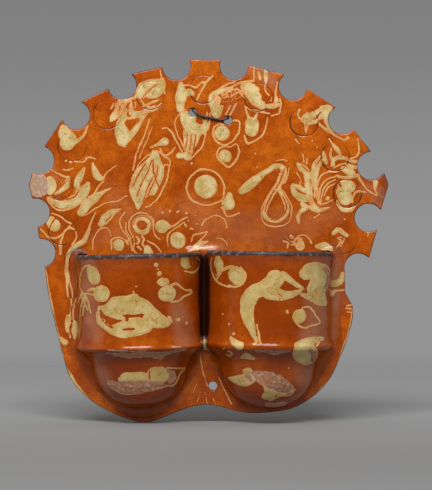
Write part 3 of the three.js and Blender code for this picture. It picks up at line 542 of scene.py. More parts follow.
# %% Broad patches, gaps, threads and chips on the left pot
LEFT_POT_SLIP = {
    "feathers": [
        [(100, 318, 3), (108, 326, 3)],
        [(82, 296, 3), (80, 308, 4), (78, 318, 3)],
    ],
    # painted sheen: grey-pink reflections on the wall's sides and belly, on duller glaze
    "dull_and_sheen": [
        [(176, 305, 5), (180, 322, 8), (184, 340, 7)],
        [(88, 262, 6), (86, 290, 7), (92, 330, 8)],
        [(98, 372, 6), (104, 384, 5)],
    ],
    "patches": [
        [(91.2, 270.4, 5.4), (92.8, 274.6, 6.5), (94, 278.4, 5.2)],
        [(100.7, 292.8, 8.2)],
        [(94, 288.4, 1.2), (91, 288.6, 1.6), (87, 290, 0.8)],
        [(98, 308, 2.6), (105, 309, 5.6), (114, 308, 9.6), (123, 308, 12), (132, 308, 12.6)],
        [(132, 308, 12.6), (140, 312, 12), (149, 317.5, 9.4), (157, 321.5, 7.2), (164, 323, 4.6),
         (168, 321.5, 2.6)],
        [(167.5, 318, 1.4), (169, 322, 2.2)],
        [(96.4, 313, 2.4), (98, 320, 3), (104, 325.5, 3.4), (112, 329.5, 5.4), (121, 329.5, 8),
         (132, 327, 9), (142, 325, 9)],
        [(113, 301.5, 4.4), (118, 299.6, 3.4), (124, 300, 3)],
        [(130, 299, 5), (134, 297.4, 3.6)],
        [(155.6, 265.4, 2.2)],
        [(158.8, 274.3, 2.4)],
        [(160, 283, 3.4), (164.6, 282.6, 3.6)],
        [(161.6, 279.4, 1.2), (162, 279.6, 1.2)],
        [(164.6, 294.6, 7.6), (166.6, 294.4, 7.8)],
        [(186, 258, 4.6), (186.4, 264, 5.6)],
        [(176.6, 320.6, 2)],
        [(184.6, 324.4, 1.7)],
        [(117, 379, 2.4), (123, 377, 4.4), (131, 377, 4.4), (139, 376.6, 5), (143, 379, 3.2)],
        [(152, 375.6, 8.2), (158, 375.6, 8)],
    ],
    "gaps": [
        [(98.6, 310, 1), (101, 316, 2.5), (105, 321.6, 2.3), (110.5, 327.5, 1)],
        [(122.6, 315.6, 1.1), (131, 316.2, 1.3), (141, 315.4, 1.3)],
        [(125.4, 316, 1.8), (125.2, 320, 1.4)],
        [(139.4, 315.4, 1.5), (139.6, 317.6, 1)],
        [(121.5, 329.6, 0.9), (127, 329, 1.6), (132, 328.6, 0.9)],
        [(190, 258, 1.6), (190.6, 266, 1.2)],
        [(146.6, 372, 0.8), (146.2, 379, 0.7)],
    ],
    "threads": [
        [(90, 264.4, 0.8), (83, 266.6, 0.9), (79.6, 274, 0.9), (78.8, 284, 0.9), (80.6, 290, 0.8)],
        [(93, 294, 1), (87, 292.6, 0.8), (80.8, 293.2, 1)],
        [(82, 291, 1.2), (77.8, 299, 1.1), (74.6, 307, 1), (73.4, 318, 0.9)],
        [(83, 294, 1.1), (80.6, 303, 1), (78, 314, 0.9), (76.6, 322, 0.8)],
        [(84, 294, 1.1), (83.6, 303, 1), (81, 314, 0.9)],
        [(84.6, 293.6, 1.1), (87.4, 302, 1), (89.4, 312.6, 0.9)],
        [(81, 296, 0.8), (85.4, 305.6, 0.9), (86.6, 309, 0.6)],
        [(157, 270, 1)],
        [(169, 286.6, 0.9), (175, 284.6, 1), (181, 288.4, 0.9), (184.4, 291.2, 1), (189.6, 291, 1.1)],
        [(189.6, 291, 1.1), (190, 294, 1.1), (185, 296.6, 1), (179, 301.4, 1), (170, 303, 0.9)],
        [(191, 255.6, 0.7), (197, 258.6, 0.8), (200, 264, 0.9), (197, 270.6, 0.9), (191, 273.6, 1),
         (184, 271.6, 0.9)],
        [(134.6, 286, 0.8), (135.4, 286.6, 0.8)],
        [(132.2, 291.4, 1), (132.6, 292.6, 1)],
        [(181, 317.8, 0.9)],
        [(148, 381, 0.9), (157, 385.4, 1), (168, 386.6, 1), (174.4, 380.6, 1), (178, 374, 1),
         (181.6, 369.6, 1.2)],
        [(181.6, 369.6, 1.2), (174, 369, 0.9), (165, 368.6, 0.9)],
        [(104.6, 382.6, 0.9), (110, 388, 0.9), (118, 392.6, 0.8)],
    ],
    "bare": [
        [(104, 352.6, 0.8), (114, 354, 1.8), (126, 355.6, 3), (138, 355, 2.4), (148, 354.6, 2.6),
         (157, 356.4, 3.6)],
        [(157, 356.4, 3.6), (164, 354, 2), (173, 352.4, 1.2), (182.6, 350.8, 1.2)],
        [(106, 349.6, 0.7), (118, 350.6, 0.8), (131, 351.6, 1), (146, 351, 0.7)],
        [(170, 347.6, 0.7), (178, 348, 0.9)],
        [(105, 380.6, 1.4), (111, 385, 4.4), (120, 387.6, 6.2), (131, 387.6, 6.6), (143, 386.6, 5.6),
         (154, 386.4, 4), (163, 386.6, 1.6)],
        [(165, 372, 2), (170, 376, 3.4), (167, 382, 2.4)],
    ],
}

# %% Broad patches, gaps, threads and chips on the right pot
RIGHT_POT_SLIP = {
    "feathers": [
        [(255, 301, 3.4)],
        [(318, 290, 4), (316, 300, 4)],
    ],
    # painted sheen: grey-pink reflections on the wall's sides and belly, on duller glaze
    "dull_and_sheen": [
        [(314, 300, 8), (318, 320, 10), (312, 336, 10)],
        [(302, 362, 6), (306, 376, 8)],
        [(318, 264, 6), (326, 280, 5)],
    ],
    "patches": [
        [(218, 259.6, 3), (218.8, 266, 5.2), (217.6, 272, 3.6), (216.8, 276.6, 0.9)],
        [(236.6, 276.4, 8.6)],
        [(224.6, 270, 1.4), (230, 268, 1.6), (237, 268.6, 2)],
        [(276, 278.6, 8.6), (271, 284, 8.2), (264, 288.6, 7.4), (256, 292, 7.6), (250, 298.6, 7.6)],
        [(250, 298.6, 7.6), (247.6, 306, 7), (248.6, 315, 6.2), (251, 323.6, 5), (254, 332, 3.6),
         (257, 339.6, 2.2)],
        [(283, 275.4, 4.6), (290, 279.6, 3), (297, 284.4, 2.4), (304.6, 289, 1.2)],
        [(271, 292, 7.4), (280, 294.6, 5.6), (289, 295.2, 3.8), (297, 292.4, 2.6), (304, 289.6, 1.3)],
        [(312.4, 281, 2.6), (311.6, 287, 4), (313, 293, 4)],
        [(306, 274, 5), (312, 271, 7.6), (319, 271, 8.2), (324, 276, 7)],
        [(321, 281, 8.4), (318.6, 289, 8.2), (320, 297, 7), (325, 302, 4)],
        [(317, 298, 4.6), (310, 296, 3.2), (302, 294.6, 1.6)],
        [(288.7, 311.6, 1.8)],
        [(300.6, 315.6, 7)],
        [(229.6, 324.8, 1.2)],
        [(234.8, 334.6, 1.5)],
        [(232.4, 339, 1.8), (235.6, 342.4, 3.4), (241, 346, 4.6)],
        [(255.4, 344.4, 1.5), (258, 342.6, 1.2)],
        [(260.6, 341, 1), (262, 343.4, 1.3)],
        [(299, 345, 3.4), (307, 341.6, 4.4), (316, 339.4, 3.2), (324, 338.4, 2)],
        [(305, 352.6, 10.6), (308.6, 353.6, 11)],
        [(242.6, 358.2, 0.8), (248, 356.2, 3), (255.6, 358.4, 1.2)],
        [(231, 378.6, 1.2), (238, 380, 4), (246, 381, 6.4), (252, 378, 6)],
        [(247, 371.6, 2.4), (251, 371, 3)],
        [(274, 388, 8.4), (283, 388, 7.6), (292, 388.4, 4.4)],
        [(268, 396, 3.6), (274, 396.6, 3.2)],
    ],
    "gaps": [
        [(213.4, 266, 1.2), (214.6, 271, 1.5), (216, 275, 0.7)],
        [(226.4, 274.6, 1.4), (227.6, 280, 2), (232.6, 284.4, 0.9)],
        [(214, 281, 0.5), (225, 267.6, 0.5)],
        [(285.4, 282, 1.6), (288.6, 286.6, 3), (293, 288.8, 1)],
        [(299, 297.6, 0.5), (303.6, 290.6, 0.5), (306, 287, 0.5)],
        [(279, 293.6, 0.4), (282.6, 296, 0.4), (280, 299, 0.4)],
        [(312, 350, 1.6), (315, 355, 3.2), (313.4, 360, 1.6)],
        [(258, 324, 0.4), (258.4, 336, 0.4)],
    ],
    "threads": [
        [(212, 259, 0.8), (210.8, 266, 0.9), (212, 273.6, 0.9), (216, 280.6, 1), (222, 285.6, 1),
         (231, 287.6, 0.9)],
        [(224, 269.6, 0.9), (219.6, 275.6, 0.8), (216.4, 280.6, 0.9)],
        [(241, 268, 1), (246, 275, 1), (243.6, 283, 1), (237, 287.4, 1), (229, 286, 0.9)],
        [(258.4, 325, 0.9), (260, 333, 0.8), (260.8, 340, 1)],
        [(301, 276, 0.8), (301.6, 270, 0.9), (307, 264.6, 0.9), (317, 262.4, 1), (325, 264, 0.9),
         (330.4, 271, 0.8)],
        [(303, 307.6, 0.9), (309.6, 306.6, 1), (314.6, 310.4, 0.9), (317, 315, 0.9), (320.8, 319.8, 1)],
        [(320.8, 319.8, 1), (320, 323, 1), (313, 325, 1), (306, 327.6, 0.9), (299, 324.4, 0.9),
         (295, 319.4, 0.8)],
        [(224.2, 315.2, 0.8)],
        [(222.6, 310.4, 0.7)],
        [(229.4, 351.6, 0.7), (233, 353.6, 0.9), (231, 356.6, 0.9), (227.6, 354.6, 0.8)],
        [(318, 345, 1), (321, 341.4, 1)],
        [(226, 349, 0.7), (224.6, 350.4, 0.7)],
        [(290.3, 367.2, 0.8)],
        [(297.6, 389.6, 0.8), (292, 394.6, 0.8), (282, 396.6, 0.8), (272, 400.4, 0.8)],
    ],
    "bare": [
        [(258, 351, 0.7), (266, 351.4, 1.4), (274, 352, 2.2), (282, 352, 2), (291, 351, 0.9)],
        [(313, 351, 2), (315.6, 356, 2.8)],
        [(254, 373, 2), (262, 377, 6), (271, 380, 8), (281, 384, 8.4), (290, 388.4, 5.4)],
        [(248, 377, 2.6), (252, 380, 3)],
        [(269, 404.4, 2), (277, 405.4, 3.4), (286, 404, 2.8)],
        [(325, 268, 1.6), (328.6, 278, 2.4), (326, 288, 1.6)],
    ],
}

# %% [markdown]
# ## From the photograph to the clay
#
# The slab faces the camera, so a place on it is just scaled. The half pots are round, so places on them are
# carried back to the round wall later, once the pots' sections have been read from the model.


# %% Slip trails in real sizes
def in_millimetres(trail):
    """A trail of photograph places as (x, z, half width) at the depth of the slab's face."""
    across, down, half = np.array(trail, float).T
    x = (across - PHOTO_ZERO[0]) * MM_PER_PX
    z = (PHOTO_ZERO[1] - down) * MM_PER_PX
    return np.stack([x, z, half * MM_PER_PX], axis=1)


def on_slab(trail):
    """A trail of photograph places as a smooth trail on the slab's face."""
    return through(in_millimetres(trail))


def ring_trail(across, down, radius, half, cuts=10):
    """A closed, slightly uneven ring of slip as a trail of photograph places."""
    turns = np.linspace(0, 2 * math.pi, cuts, endpoint=False)
    uneven = 1 + 0.04 * np.sin(2 * turns + 1) + 0.03 * np.sin(3 * turns)
    points = [
        (across + radius * k * math.cos(t), down + radius * k * math.sin(t), half)
        for t, k in zip(turns, uneven)
    ]
    return [*points, points[0]]


def filaments(places, seed, share):
    """Distance to fine marbled lines, the level lines of a twice-bent noise."""
    bent = places + 2.6 * sway(places, 8.0, seed)
    level = 2.3 * ripple(bent, 9.0, seed + 2) + 0.35 * ripple(bent, 3.4, seed + 3)
    off_line = np.abs(level - np.floor(level) - 0.5)
    return 2.8 * (off_line - share)


def marbled(places, slip_lists, seed, echoes):
    """Signed distance to the edge of the slip in millimetres, negative where cream slip lies."""
    bent = places + 0.5 * sway(places, 7.0, seed) + 0.25 * sway(places, 2.2, seed + 2)
    broad = nearest(bent, slip_lists["patches"])
    broad = np.maximum(broad, -nearest(bent, slip_lists["gaps"]))
    zone = covered(bent, slip_lists["feathers"], -1.5, 2.0)
    cut = filaments(places, seed + 20, 0.045) + 2.0 * (1 - zone)
    broad = np.where(broad < -0.5, np.maximum(broad, -cut), broad)
    thin = nearest(bent, slip_lists["threads"]) + 0.15 * ripple(places, 5.0, seed + 4)
    beside = 2.0 + 0.8 * ripple(places, 11.0, seed + 5)
    run_out = echoes * zone * smoothstep(ripple(places, 17.0, seed + 6), -0.4, 0.2)
    echo = np.abs(broad - beside) - 0.65 * run_out + 0.25
    feather = filaments(places, seed + 30, 0.13) + 3.0 * (1 - zone)
    return np.minimum(np.minimum(broad, thin), np.minimum(echo, feather))


# %% [markdown]
# ## Outlines read from the model
#
# The solid model already has the true outline of the slab and the true section of each pot. Cutting a copy
# of a node with a plane gives them as closed loops, so nothing here has to be fitted by hand.


# %% Cut a node with a plane and walk round the cut
def section_loops(node, point, normal):
    """The closed loops, longest first, where a plane cuts a node; points in millimetres."""
    cut = bmesh.new()
    cut.from_mesh(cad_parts[node].data)
    bmesh.ops.remove_doubles(cut, verts=cut.verts, dist=1e-7)
    whole = [*cut.verts, *cut.edges, *cut.faces]
    at = Vector(point) * MM
    found = bmesh.ops.bisect_plane(cut, geom=whole, plane_co=at, plane_no=Vector(normal), dist=1e-7)
    edges = dict.fromkeys(e for e in found["geom_cut"] if isinstance(e, bmesh.types.BMEdge))
    loops = []
    while edges:
        edge = next(iter(edges))
        edges.pop(edge)
        start, here = edge.verts
        loop = [start.co / MM, here.co / MM]
        while here is not start:
            edge = next((e for e in here.link_edges if e in edges), None)
            if edge is None:
                break
            edges.pop(edge)
            here = edge.other_vert(here)
            loop.append(here.co / MM)
        loops.append(np.array(loop[:-1]))
    cut.free()
    return sorted(loops, key=len, reverse=True)


def evenly(points, step, closed):
    """Points spaced evenly by about `step` along a line."""
    line = np.vstack([points, points[:1]]) if closed else points
    along = np.concatenate([[0], np.cumsum(np.linalg.norm(np.diff(line, axis=0), axis=1))])
    count = max(int(round(along[-1] / step)), 2)
    stops = np.linspace(0, along[-1], count + 1)
    even = np.stack([np.interp(stops, along, axis) for axis in line.T], axis=1)
    return even[:-1] if closed else even


def softened(points, reach, closed):
    """A line with its facets and corners rounded over `reach` points; open ends stay put."""
    weights = np.exp(-0.5 * (np.arange(-3 * reach, 3 * reach + 1) / reach) ** 2)
    weights /= weights.sum()
    pad = 3 * reach
    if closed:
        longer = np.vstack([points[-pad:], points, points[:pad]])
    else:
        before = 2 * points[0] - points[pad:0:-1]
        after = 2 * points[-1] - points[-2 : -pad - 2 : -1]
        longer = np.vstack([before, points, after])
    return np.stack([np.convolve(axis, weights, "valid") for axis in longer.T], axis=1)


def smooth_line(points, step, reach, closed):
    """A line with even points and no facets."""
    return softened(evenly(points, step, closed), reach, closed)


# %% The slab's outline and holes
OUTLINE_STEP = 0.5
slab_loops = section_loops("back_plate", (0, SLAB_FRONT / 2, 0), (0, 1, 0))
outline, *holes = [smooth_line(loop[:, [0, 2]], OUTLINE_STEP, 2, True) for loop in slab_loops]
print("outline of", len(outline), "points and", len(holes), "holes")

# %% [markdown]
# ## The slab's mesh
#
# A sharp edge between slip and glaze needs small triangles, but only near that edge. So the face is a cloud
# of points, dense beside the slip and along the stamped rings and sparse elsewhere, joined by a constrained
# Delaunay triangulation. Subdividing a plain grid as finely would need four times the faces.

# %% How far a place is from the edge of the slab
loops = [outline, *holes]
rim_points = np.vstack(loops)
rim_tree = kdtree.KDTree(len(rim_points))
for number, (x, z) in enumerate(rim_points):
    rim_tree.insert((x, z, 0), number)
rim_tree.balance()


def from_edge(places):
    """Distance to the nearest edge or hole of the slab."""
    return np.array([rim_tree.find((x, z, 0))[2] for x, z in places])


def inside(places, loop):
    """True for the places inside a closed loop."""
    x, z = places.T
    odd = np.zeros(len(places), bool)
    for (ax, az), (bx, bz) in zip(loop, np.roll(loop, -1, axis=0)):
        if az != bz:
            odd ^= ((az > z) != (bz > z)) & (x < (bx - ax) * (z - az) / (bz - az) + ax)
    return odd


def on_clay(places):
    """True for the places on the slab that aren't in a hole."""
    found = inside(places, outline)
    for hole in holes:
        found &= ~inside(places, hole)
    return found


# %% The pots' places on the slab
POTS = {
    "left": {"rim": (-58.1, -117.2), "sag": 1.4, "outer": -1},
    "right": {"rim": (54.0, -115.0), "sag": -0.9, "outer": 1},
}
POT_RADIUS = 52.3
POT_DEEP = 108.0


def behind_pot(places, margin):
    """True where a half pot hides the slab."""
    hidden = np.zeros(len(places), bool)
    for pot in POTS.values():
        x, z = pot["rim"]
        across = np.abs(places[:, 0] - x) < POT_RADIUS - margin
        hidden |= across & (places[:, 1] < z - margin) & (places[:, 1] > z - POT_DEEP)
    return hidden


# %% The stamped rings
STAMP_RADIUS = 12.0
STAMP_DEPTH = 0.5
STAMP_WIDTH = 0.38
# rings of places beside a stamped ring, so that its groove stays crisp
STAMP_RINGS = (-1.0, -0.5, -0.2, 0.1, 0.5, 1.0)
STAMPS = [
    (-122.5, -98.0), (-125.8, -59.8), (-114.2, -26.7), (-84.6, 0.6), (-47.5, 17.0), (-2.5, 22.2),
    (44.2, 15.4), (82.9, -5.4), (109.4, -35.3), (119.8, -66.2), (116.0, -105.3),
]
# how hard each one was pressed, from the left foot of the cog edge to the right one
STAMP_PRESSURE = (0.7, 0.62, 0.6, 0.72, 0.84, 0.9, 0.86, 1.0, 1.0, 1.0, 0.6)


def stamp_depth(places):
    """How deep the cutter's light mark is at each place; the hand leaned on its lower side."""
    depth = np.zeros(len(places))
    for number, (x, z) in enumerate(STAMPS):
        away = places - (x, z)
        off_ring = np.hypot(*away.T) - STAMP_RADIUS
        turn = np.arctan2(away[:, 1], away[:, 0])
        lean = 0.55 - 0.3 * np.sin(turn + 0.4) + 0.25 * np.sin(2 * turn + number)
        ring = STAMP_DEPTH * STAMP_PRESSURE[number] * lean * np.exp(-((off_ring / STAMP_WIDTH) ** 2))
        depth = np.maximum(depth, ring)
    return depth


# %% Where the slip lies on the slab
SLAB_SLIP = {
    "patches": SLAB_PATCHES,
    "gaps": SLAB_GAPS,
    "threads": [*SLAB_THREADS, *SLAB_RIM_SLIP, *(ring_trail(*ring) for ring in SLAB_RINGS)],
    "feathers": SLAB_FEATHERS,
    "bare": SLAB_BARE,
    "dull_and_sheen": SLAB_DULL_AND_SHEEN,
    "painted_sheen": SLAB_PAINTED_SHEEN,
    "rubbed": SLAB_RUBBED,
}
slab_lists = {key: [on_slab(trail) for trail in trails] for key, trails in SLAB_SLIP.items()}
print("trails on the slab:", sum(len(trails) for trails in slab_lists.values()))


def slab_slip(places):
    """Signed distance to the edge of the slab's slip."""
    return marbled(places, slab_lists, seed=3, echoes=1.0)


# %% The slab's face as a height over every place
EDGE_RADIUS = 1.2
SLIP_RELIEF = 0.14
MOUND = {"from": -14.0, "to": 6.0, "height": -115.5, "proud": 2.0, "spread": 4.2}


def hand_waves(places):
    """The slow waves and dents that the hand left in the slab."""
    return 0.38 * ripple(places, 52.0, 11) + 0.08 * ripple(places, 21.0, 12)


def mound(places):
    """Soft clay smeared over the place where the two rims meet."""
    x, z = places.T
    off = np.maximum(np.maximum(MOUND["from"] - x, x - MOUND["to"]), 0) / 6
    up = (z - MOUND["height"]) / MOUND["spread"]
    return MOUND["proud"] * np.exp(-off * off - up * up)


def proud_slip(slip):
    """How far the slip stands proud of the clay."""
    return SLIP_RELIEF * smoothstep(-slip, -0.1, 0.5)


def slab_face(places, edge, slip):
    """The front face's y for each place."""
    within = np.clip(EDGE_RADIUS - edge, 0, EDGE_RADIUS)
    fall = EDGE_RADIUS - np.sqrt(EDGE_RADIUS**2 - within**2)
    calm = smoothstep(edge, 0, 6)
    raised = calm * (hand_waves(places) + mound(places))
    return SLAB_FRONT + fall + stamp_depth(places) - raised - proud_slip(slip)


# %% A lattice over the slab, and rings beside its edges
ROW_RATIO = 0.866


def lattice(step):
    """Places on a triangular grid over the slab's clay, with each one's row and column."""
    low, high = outline.min(0), outline.max(0)
    row, column = np.mgrid[0 : (high[1] - low[1]) / (step * ROW_RATIO), 0 : (high[0] - low[0]) / step]
    x = low[0] + step * (column + 0.5 * (row % 2))
    z = low[1] + ROW_RATIO * step * row
    places = np.stack([x.ravel(), z.ravel()], axis=1)
    kept = on_clay(places)
    return places[kept], row.ravel().astype(int)[kept], column.ravel().astype(int)[kept]


def inset_rings(insets, step=0.8):
    """Rings of places just inside every edge of the slab."""
    rings = []
    for loop in loops:
        ahead = np.roll(loop, -1, axis=0) - np.roll(loop, 1, axis=0)
        side = np.stack([-ahead[:, 1], ahead[:, 0]], axis=1)
        side /= np.linalg.norm(side, axis=1)[:, None]
        probe = loop[:1] + 0.2 * side[:1]
        side = side if on_clay(probe)[0] else -side
        for inset in insets:
            ring = evenly(loop + inset * side, step, True)
            rings.append(ring[from_edge(ring) > 0.85 * inset])
    return np.vstack(rings)


# %% The cloud of places on the face
FINE_STEP = 0.74
SLIP_BAND = 1.0
OPEN_EVERY, HIDDEN_EVERY = 2, 6
POT_MARGIN = 2.0
RING_INSETS = (0.25, 0.7, 1.2)
GRID_GAP, STAMP_GAP = 0.4, 0.3
STAMP_STEPS = 116
STAMP_CLEARANCE = 1.3
places, row, column = lattice(FINE_STEP)


def every(count):
    """True for one place of the lattice in every `count` rows and columns."""
    return (row % count == 0) & (column % count == 0)


hidden = behind_pot(places, POT_MARGIN)
beside_slip = np.abs(slab_slip(places)) < SLIP_BAND
off_stamp = np.min([np.abs(np.hypot(*(places - ring).T) - STAMP_RADIUS) for ring in STAMPS], axis=0)
wanted = ((beside_slip | every(OPEN_EVERY)) & ~hidden) | every(HIDDEN_EVERY)
places = places[wanted & (off_stamp > STAMP_CLEARANCE)]
places = places[from_edge(places) > max(RING_INSETS) + GRID_GAP]
turns = np.linspace(0, 2 * math.pi, STAMP_STEPS, endpoint=False)
circle = np.stack([np.cos(turns), np.sin(turns)], axis=1)
stamp_places = np.vstack([at + (STAMP_RADIUS + off) * circle for at in STAMPS for off in STAMP_RINGS])
stamp_places = stamp_places[inside(stamp_places, outline)]
stamp_places = stamp_places[from_edge(stamp_places) > max(RING_INSETS) + STAMP_GAP]
face_places = np.vstack([*loops, inset_rings(RING_INSETS), places, stamp_places])
print("places on the face:", len(face_places))


# %% Join the places with triangles
SLIVER = 0.02
loop_count = len(rim_points)
loop_numbers = np.split(np.arange(loop_count), np.cumsum([len(loop) for loop in loops])[:-1])


def joined(places):
    """Triangles between the slab's loops, which come first among the places, without outer slivers."""
    edges = [pair for ring in loop_numbers for pair in zip(ring.tolist(), np.roll(ring, -1).tolist())]
    corners = [Vector(place) for place in places.tolist()]
    result = geometry.delaunay_2d_cdt(corners, edges, [], 1, 1e-6, True)
    faces = np.array(result[2])
    origin = np.array([kept[0] if kept else -1 for kept in result[3]])
    faces = origin[faces]
    middle = places[faces].mean(axis=1)
    faces = faces[on_clay(middle) & (faces.min(axis=1) >= 0)]
    a, b, c = (places[faces[:, k]] for k in range(3))
    area = (b[:, 0] - a[:, 0]) * (c[:, 1] - a[:, 1]) - (b[:, 1] - a[:, 1]) * (c[:, 0] - a[:, 0])
    sliver = (faces.max(axis=1) < loop_count) & (np.abs(area) < SLIVER)
    faces, area = faces[~sliver], area[~sliver]
    turned = area < 0
    faces[turned] = faces[turned][:, ::-1]
    return faces


def carry(mesh, values):
    """Puts named values on a mesh, one number or one vector for each point."""
    for key, numbers in values.items():
        numbers = np.asarray(numbers, dtype=np.float32)
        kind, part = ("FLOAT_VECTOR", "vector") if numbers.ndim == 2 else ("FLOAT", "value")
        layer = mesh.attributes.new(key, kind, "POINT")
        layer.data.foreach_set(part, numbers.ravel())


def new_piece(name, points, faces, values):
    """A smooth-shaded mesh object from millimetre points, with a named value on every point."""
    mesh = bpy.data.meshes.new(name)
    mesh.from_pydata((np.asarray(points) * MM).tolist(), [], np.asarray(faces).tolist())
    mesh.update()
    mesh.shade_smooth()
    carry(mesh, values)
    piece = bpy.data.objects.new(name, mesh)
    bpy.context.scene.collection.objects.link(piece)
    print(name, len(mesh.polygons), "faces")
    return piece


# %% [markdown]
# ## Front, back and cut edge
#
# The front and the back are both triangulated over the same outline, so the cut edge between them is just
# rows of quads. Each point also carries values that the glaze reads: how far it is from slip, and how bare
# or worn the clay is there.

# %% The slab
BACK_RADIUS = 0.8
BACK_STEP = 4.0
BACK_MARGIN = 2.0
SIDE_ROWS = (-4.6, -2.6)

front_faces = joined(face_places)
front_edge = from_edge(face_places)
front_slip = slab_slip(face_places)
front_y = slab_face(face_places, front_edge, front_slip)

back_grid = lattice(BACK_STEP)[0]
back_grid = back_grid[from_edge(back_grid) > BACK_MARGIN]
back_places = np.vstack([rim_points, inset_rings((BACK_RADIUS,), 1.0), back_grid])
back_faces = joined(back_places)[:, ::-1]
back_y = np.where(from_edge(back_places) < 0.5 * BACK_RADIUS, -BACK_RADIUS, 0.0)

rows = [rim_points] * len(SIDE_ROWS)
side_y = np.repeat(SIDE_ROWS, loop_count)
points_2d = np.vstack([face_places, *rows, back_places])
y = np.concatenate([front_y, side_y, back_y])
slab_points = np.stack([points_2d[:, 0], y, points_2d[:, 1]], axis=1)

side_start = len(face_places)
back_start = side_start + len(SIDE_ROWS) * loop_count
levels = [0, *(side_start + k * loop_count for k in range(len(SIDE_ROWS))), back_start]
sides = []
for ring in loop_numbers:
    ahead = np.roll(ring, -1)
    for top, under in zip(levels, levels[1:]):
        sides.append(np.stack([top + ring, top + ahead, under + ahead, under + ring], axis=1))
side_faces = np.vstack(sides)
side_faces = np.vstack([side_faces[:, [0, 1, 2]], side_faces[:, [0, 2, 3]]])
slab_faces = np.vstack([front_faces, side_faces, back_faces + back_start])
print("faces in front", len(front_faces), "at the cut edge", len(side_faces), "behind", len(back_faces))


# %% How deep, dull, worn and bare the slab is
def slab_darkening(places):
    """How dark the glaze is on the slab: lightest at the top and darker toward the bottom."""
    low = smoothstep(-places[:, 1], 90, 200)
    middle = smoothstep(-places[:, 1], -10, 60)
    return 0.02 + 0.22 * middle + 0.16 * low + 0.12 * ripple(places, 30.0, 23)


def slab_dull_and_sheen(places):
    """Where the slab's glaze is dulled and painted with a pinkish sheen of reflection."""
    zone = 0.45 * covered(places, slab_lists["dull_and_sheen"], -8.0, 6.0)
    zone += 0.9 * covered(places, slab_lists["painted_sheen"], -2.5, 3.0)
    return zone * (0.75 + 0.3 * ripple(places, 9.0, 24))


def with_rest(front, rest):
    """The values of the front's points, and one value for all the points behind them."""
    return np.concatenate([front, np.full(len(slab_points) - len(front), rest)])


slab_chips = -nearest(face_places, slab_lists["bare"])
front_bare = smoothstep(slab_chips + 0.8 * ripple(face_places, 4.0, 21), -0.4, 0.6)
edge_wear = smoothstep(ripple(points_2d, 9.0, 22), -0.35, 0.5)
edge_rub = (0.3 + 0.65 * edge_wear[:side_start]) * smoothstep(-front_edge, -1.3, -0.2)
rubbed_face = ripple(face_places, 3.0, 25) - nearest(face_places, slab_lists["rubbed"])
side_bare = 0.6 * edge_wear[side_start:back_start]
slab_values = {
    "slip": with_rest(front_slip, FAR),
    "bare": with_rest(np.concatenate([front_bare, side_bare]), 1.0),
    "worn": with_rest(np.maximum(edge_rub, 0.42 * smoothstep(rubbed_face, -1.5, 2.0)), 0.3),
    # the stamped grooves are painted dark, for glaze pooled in them and as painted shade
    "pool_and_shade": with_rest(2.5 * (stamp_depth(face_places) / STAMP_DEPTH) ** 1.5, 0.0),
    "deep": with_rest(slab_darkening(face_places), 0.5),
    "dull_and_sheen": with_rest(slab_dull_and_sheen(face_places), 0.5),
}
slab = new_piece("marbled_slab", slab_points, slab_faces, slab_values)


# %% Faces out, and the points of a mesh
def faces_out(piece):
    """Merges doubled points and turns every face of a closed piece outwards."""
    work = bmesh.new()
    work.from_mesh(piece.data)
    bmesh.ops.remove_doubles(work, verts=work.verts, dist=2e-6)
    open_edges = [edge for edge in work.edges if edge.is_boundary]
    if open_edges:
        filled = bmesh.ops.holes_fill(work, edges=open_edges, sides=0)
        bmesh.ops.triangulate(work, faces=filled["faces"])
    bmesh.ops.recalc_face_normals(work, faces=work.faces)
    if work.calc_volume(signed=True) < 0:
        bmesh.ops.reverse_faces(work, faces=work.faces)
    loose = sum(1 for edge in work.edges if not edge.is_manifold)
    print(piece.name, "open or crossed edges:", loose, "volume cm3:", round(work.calc_volume() * 1e6, 1))
    work.to_mesh(piece.data)
    work.free()


def points_of(mesh):
    """A mesh's points in millimetres."""
    flat = np.empty(3 * len(mesh.vertices))
    mesh.vertices.foreach_get("co", flat)
    return flat.reshape(-1, 3) / MM


def move_points(mesh, points):
    """Puts a mesh's points at new places, given in millimetres."""
    mesh.vertices.foreach_set("co", (points * MM).ravel())
    mesh.update()
    mesh.shade_smooth()


faces_out(slab)

# %% [markdown]
# ## Half pots from the wheel
#
# Each pocket is half of a thrown pot: one section turned through half a circle. That is a rule, so Geometry
# Nodes do the throwing. A grid has one row for each point of the section and one column for each step of
# the turn, and each grid point looks up its place on the section. A Screw modifier would turn the section
# too, but it has no place for the throwing rings.

# %% The pot's section, read from the model
OUTER_STEP = 0.8
INNER_STEP = 2.6
ON_AXIS = 0.5


def pot_axes(pot):
    """The middle of a hung pot's rim, its right and its up."""
    sag = math.radians(pot["sag"])
    right = Vector((math.cos(sag), 0, math.sin(sag)))
    return Vector((pot["rim"][0], SLAB_FRONT, pot["rim"][1])), right, Vector((-right.z, 0, right.x))


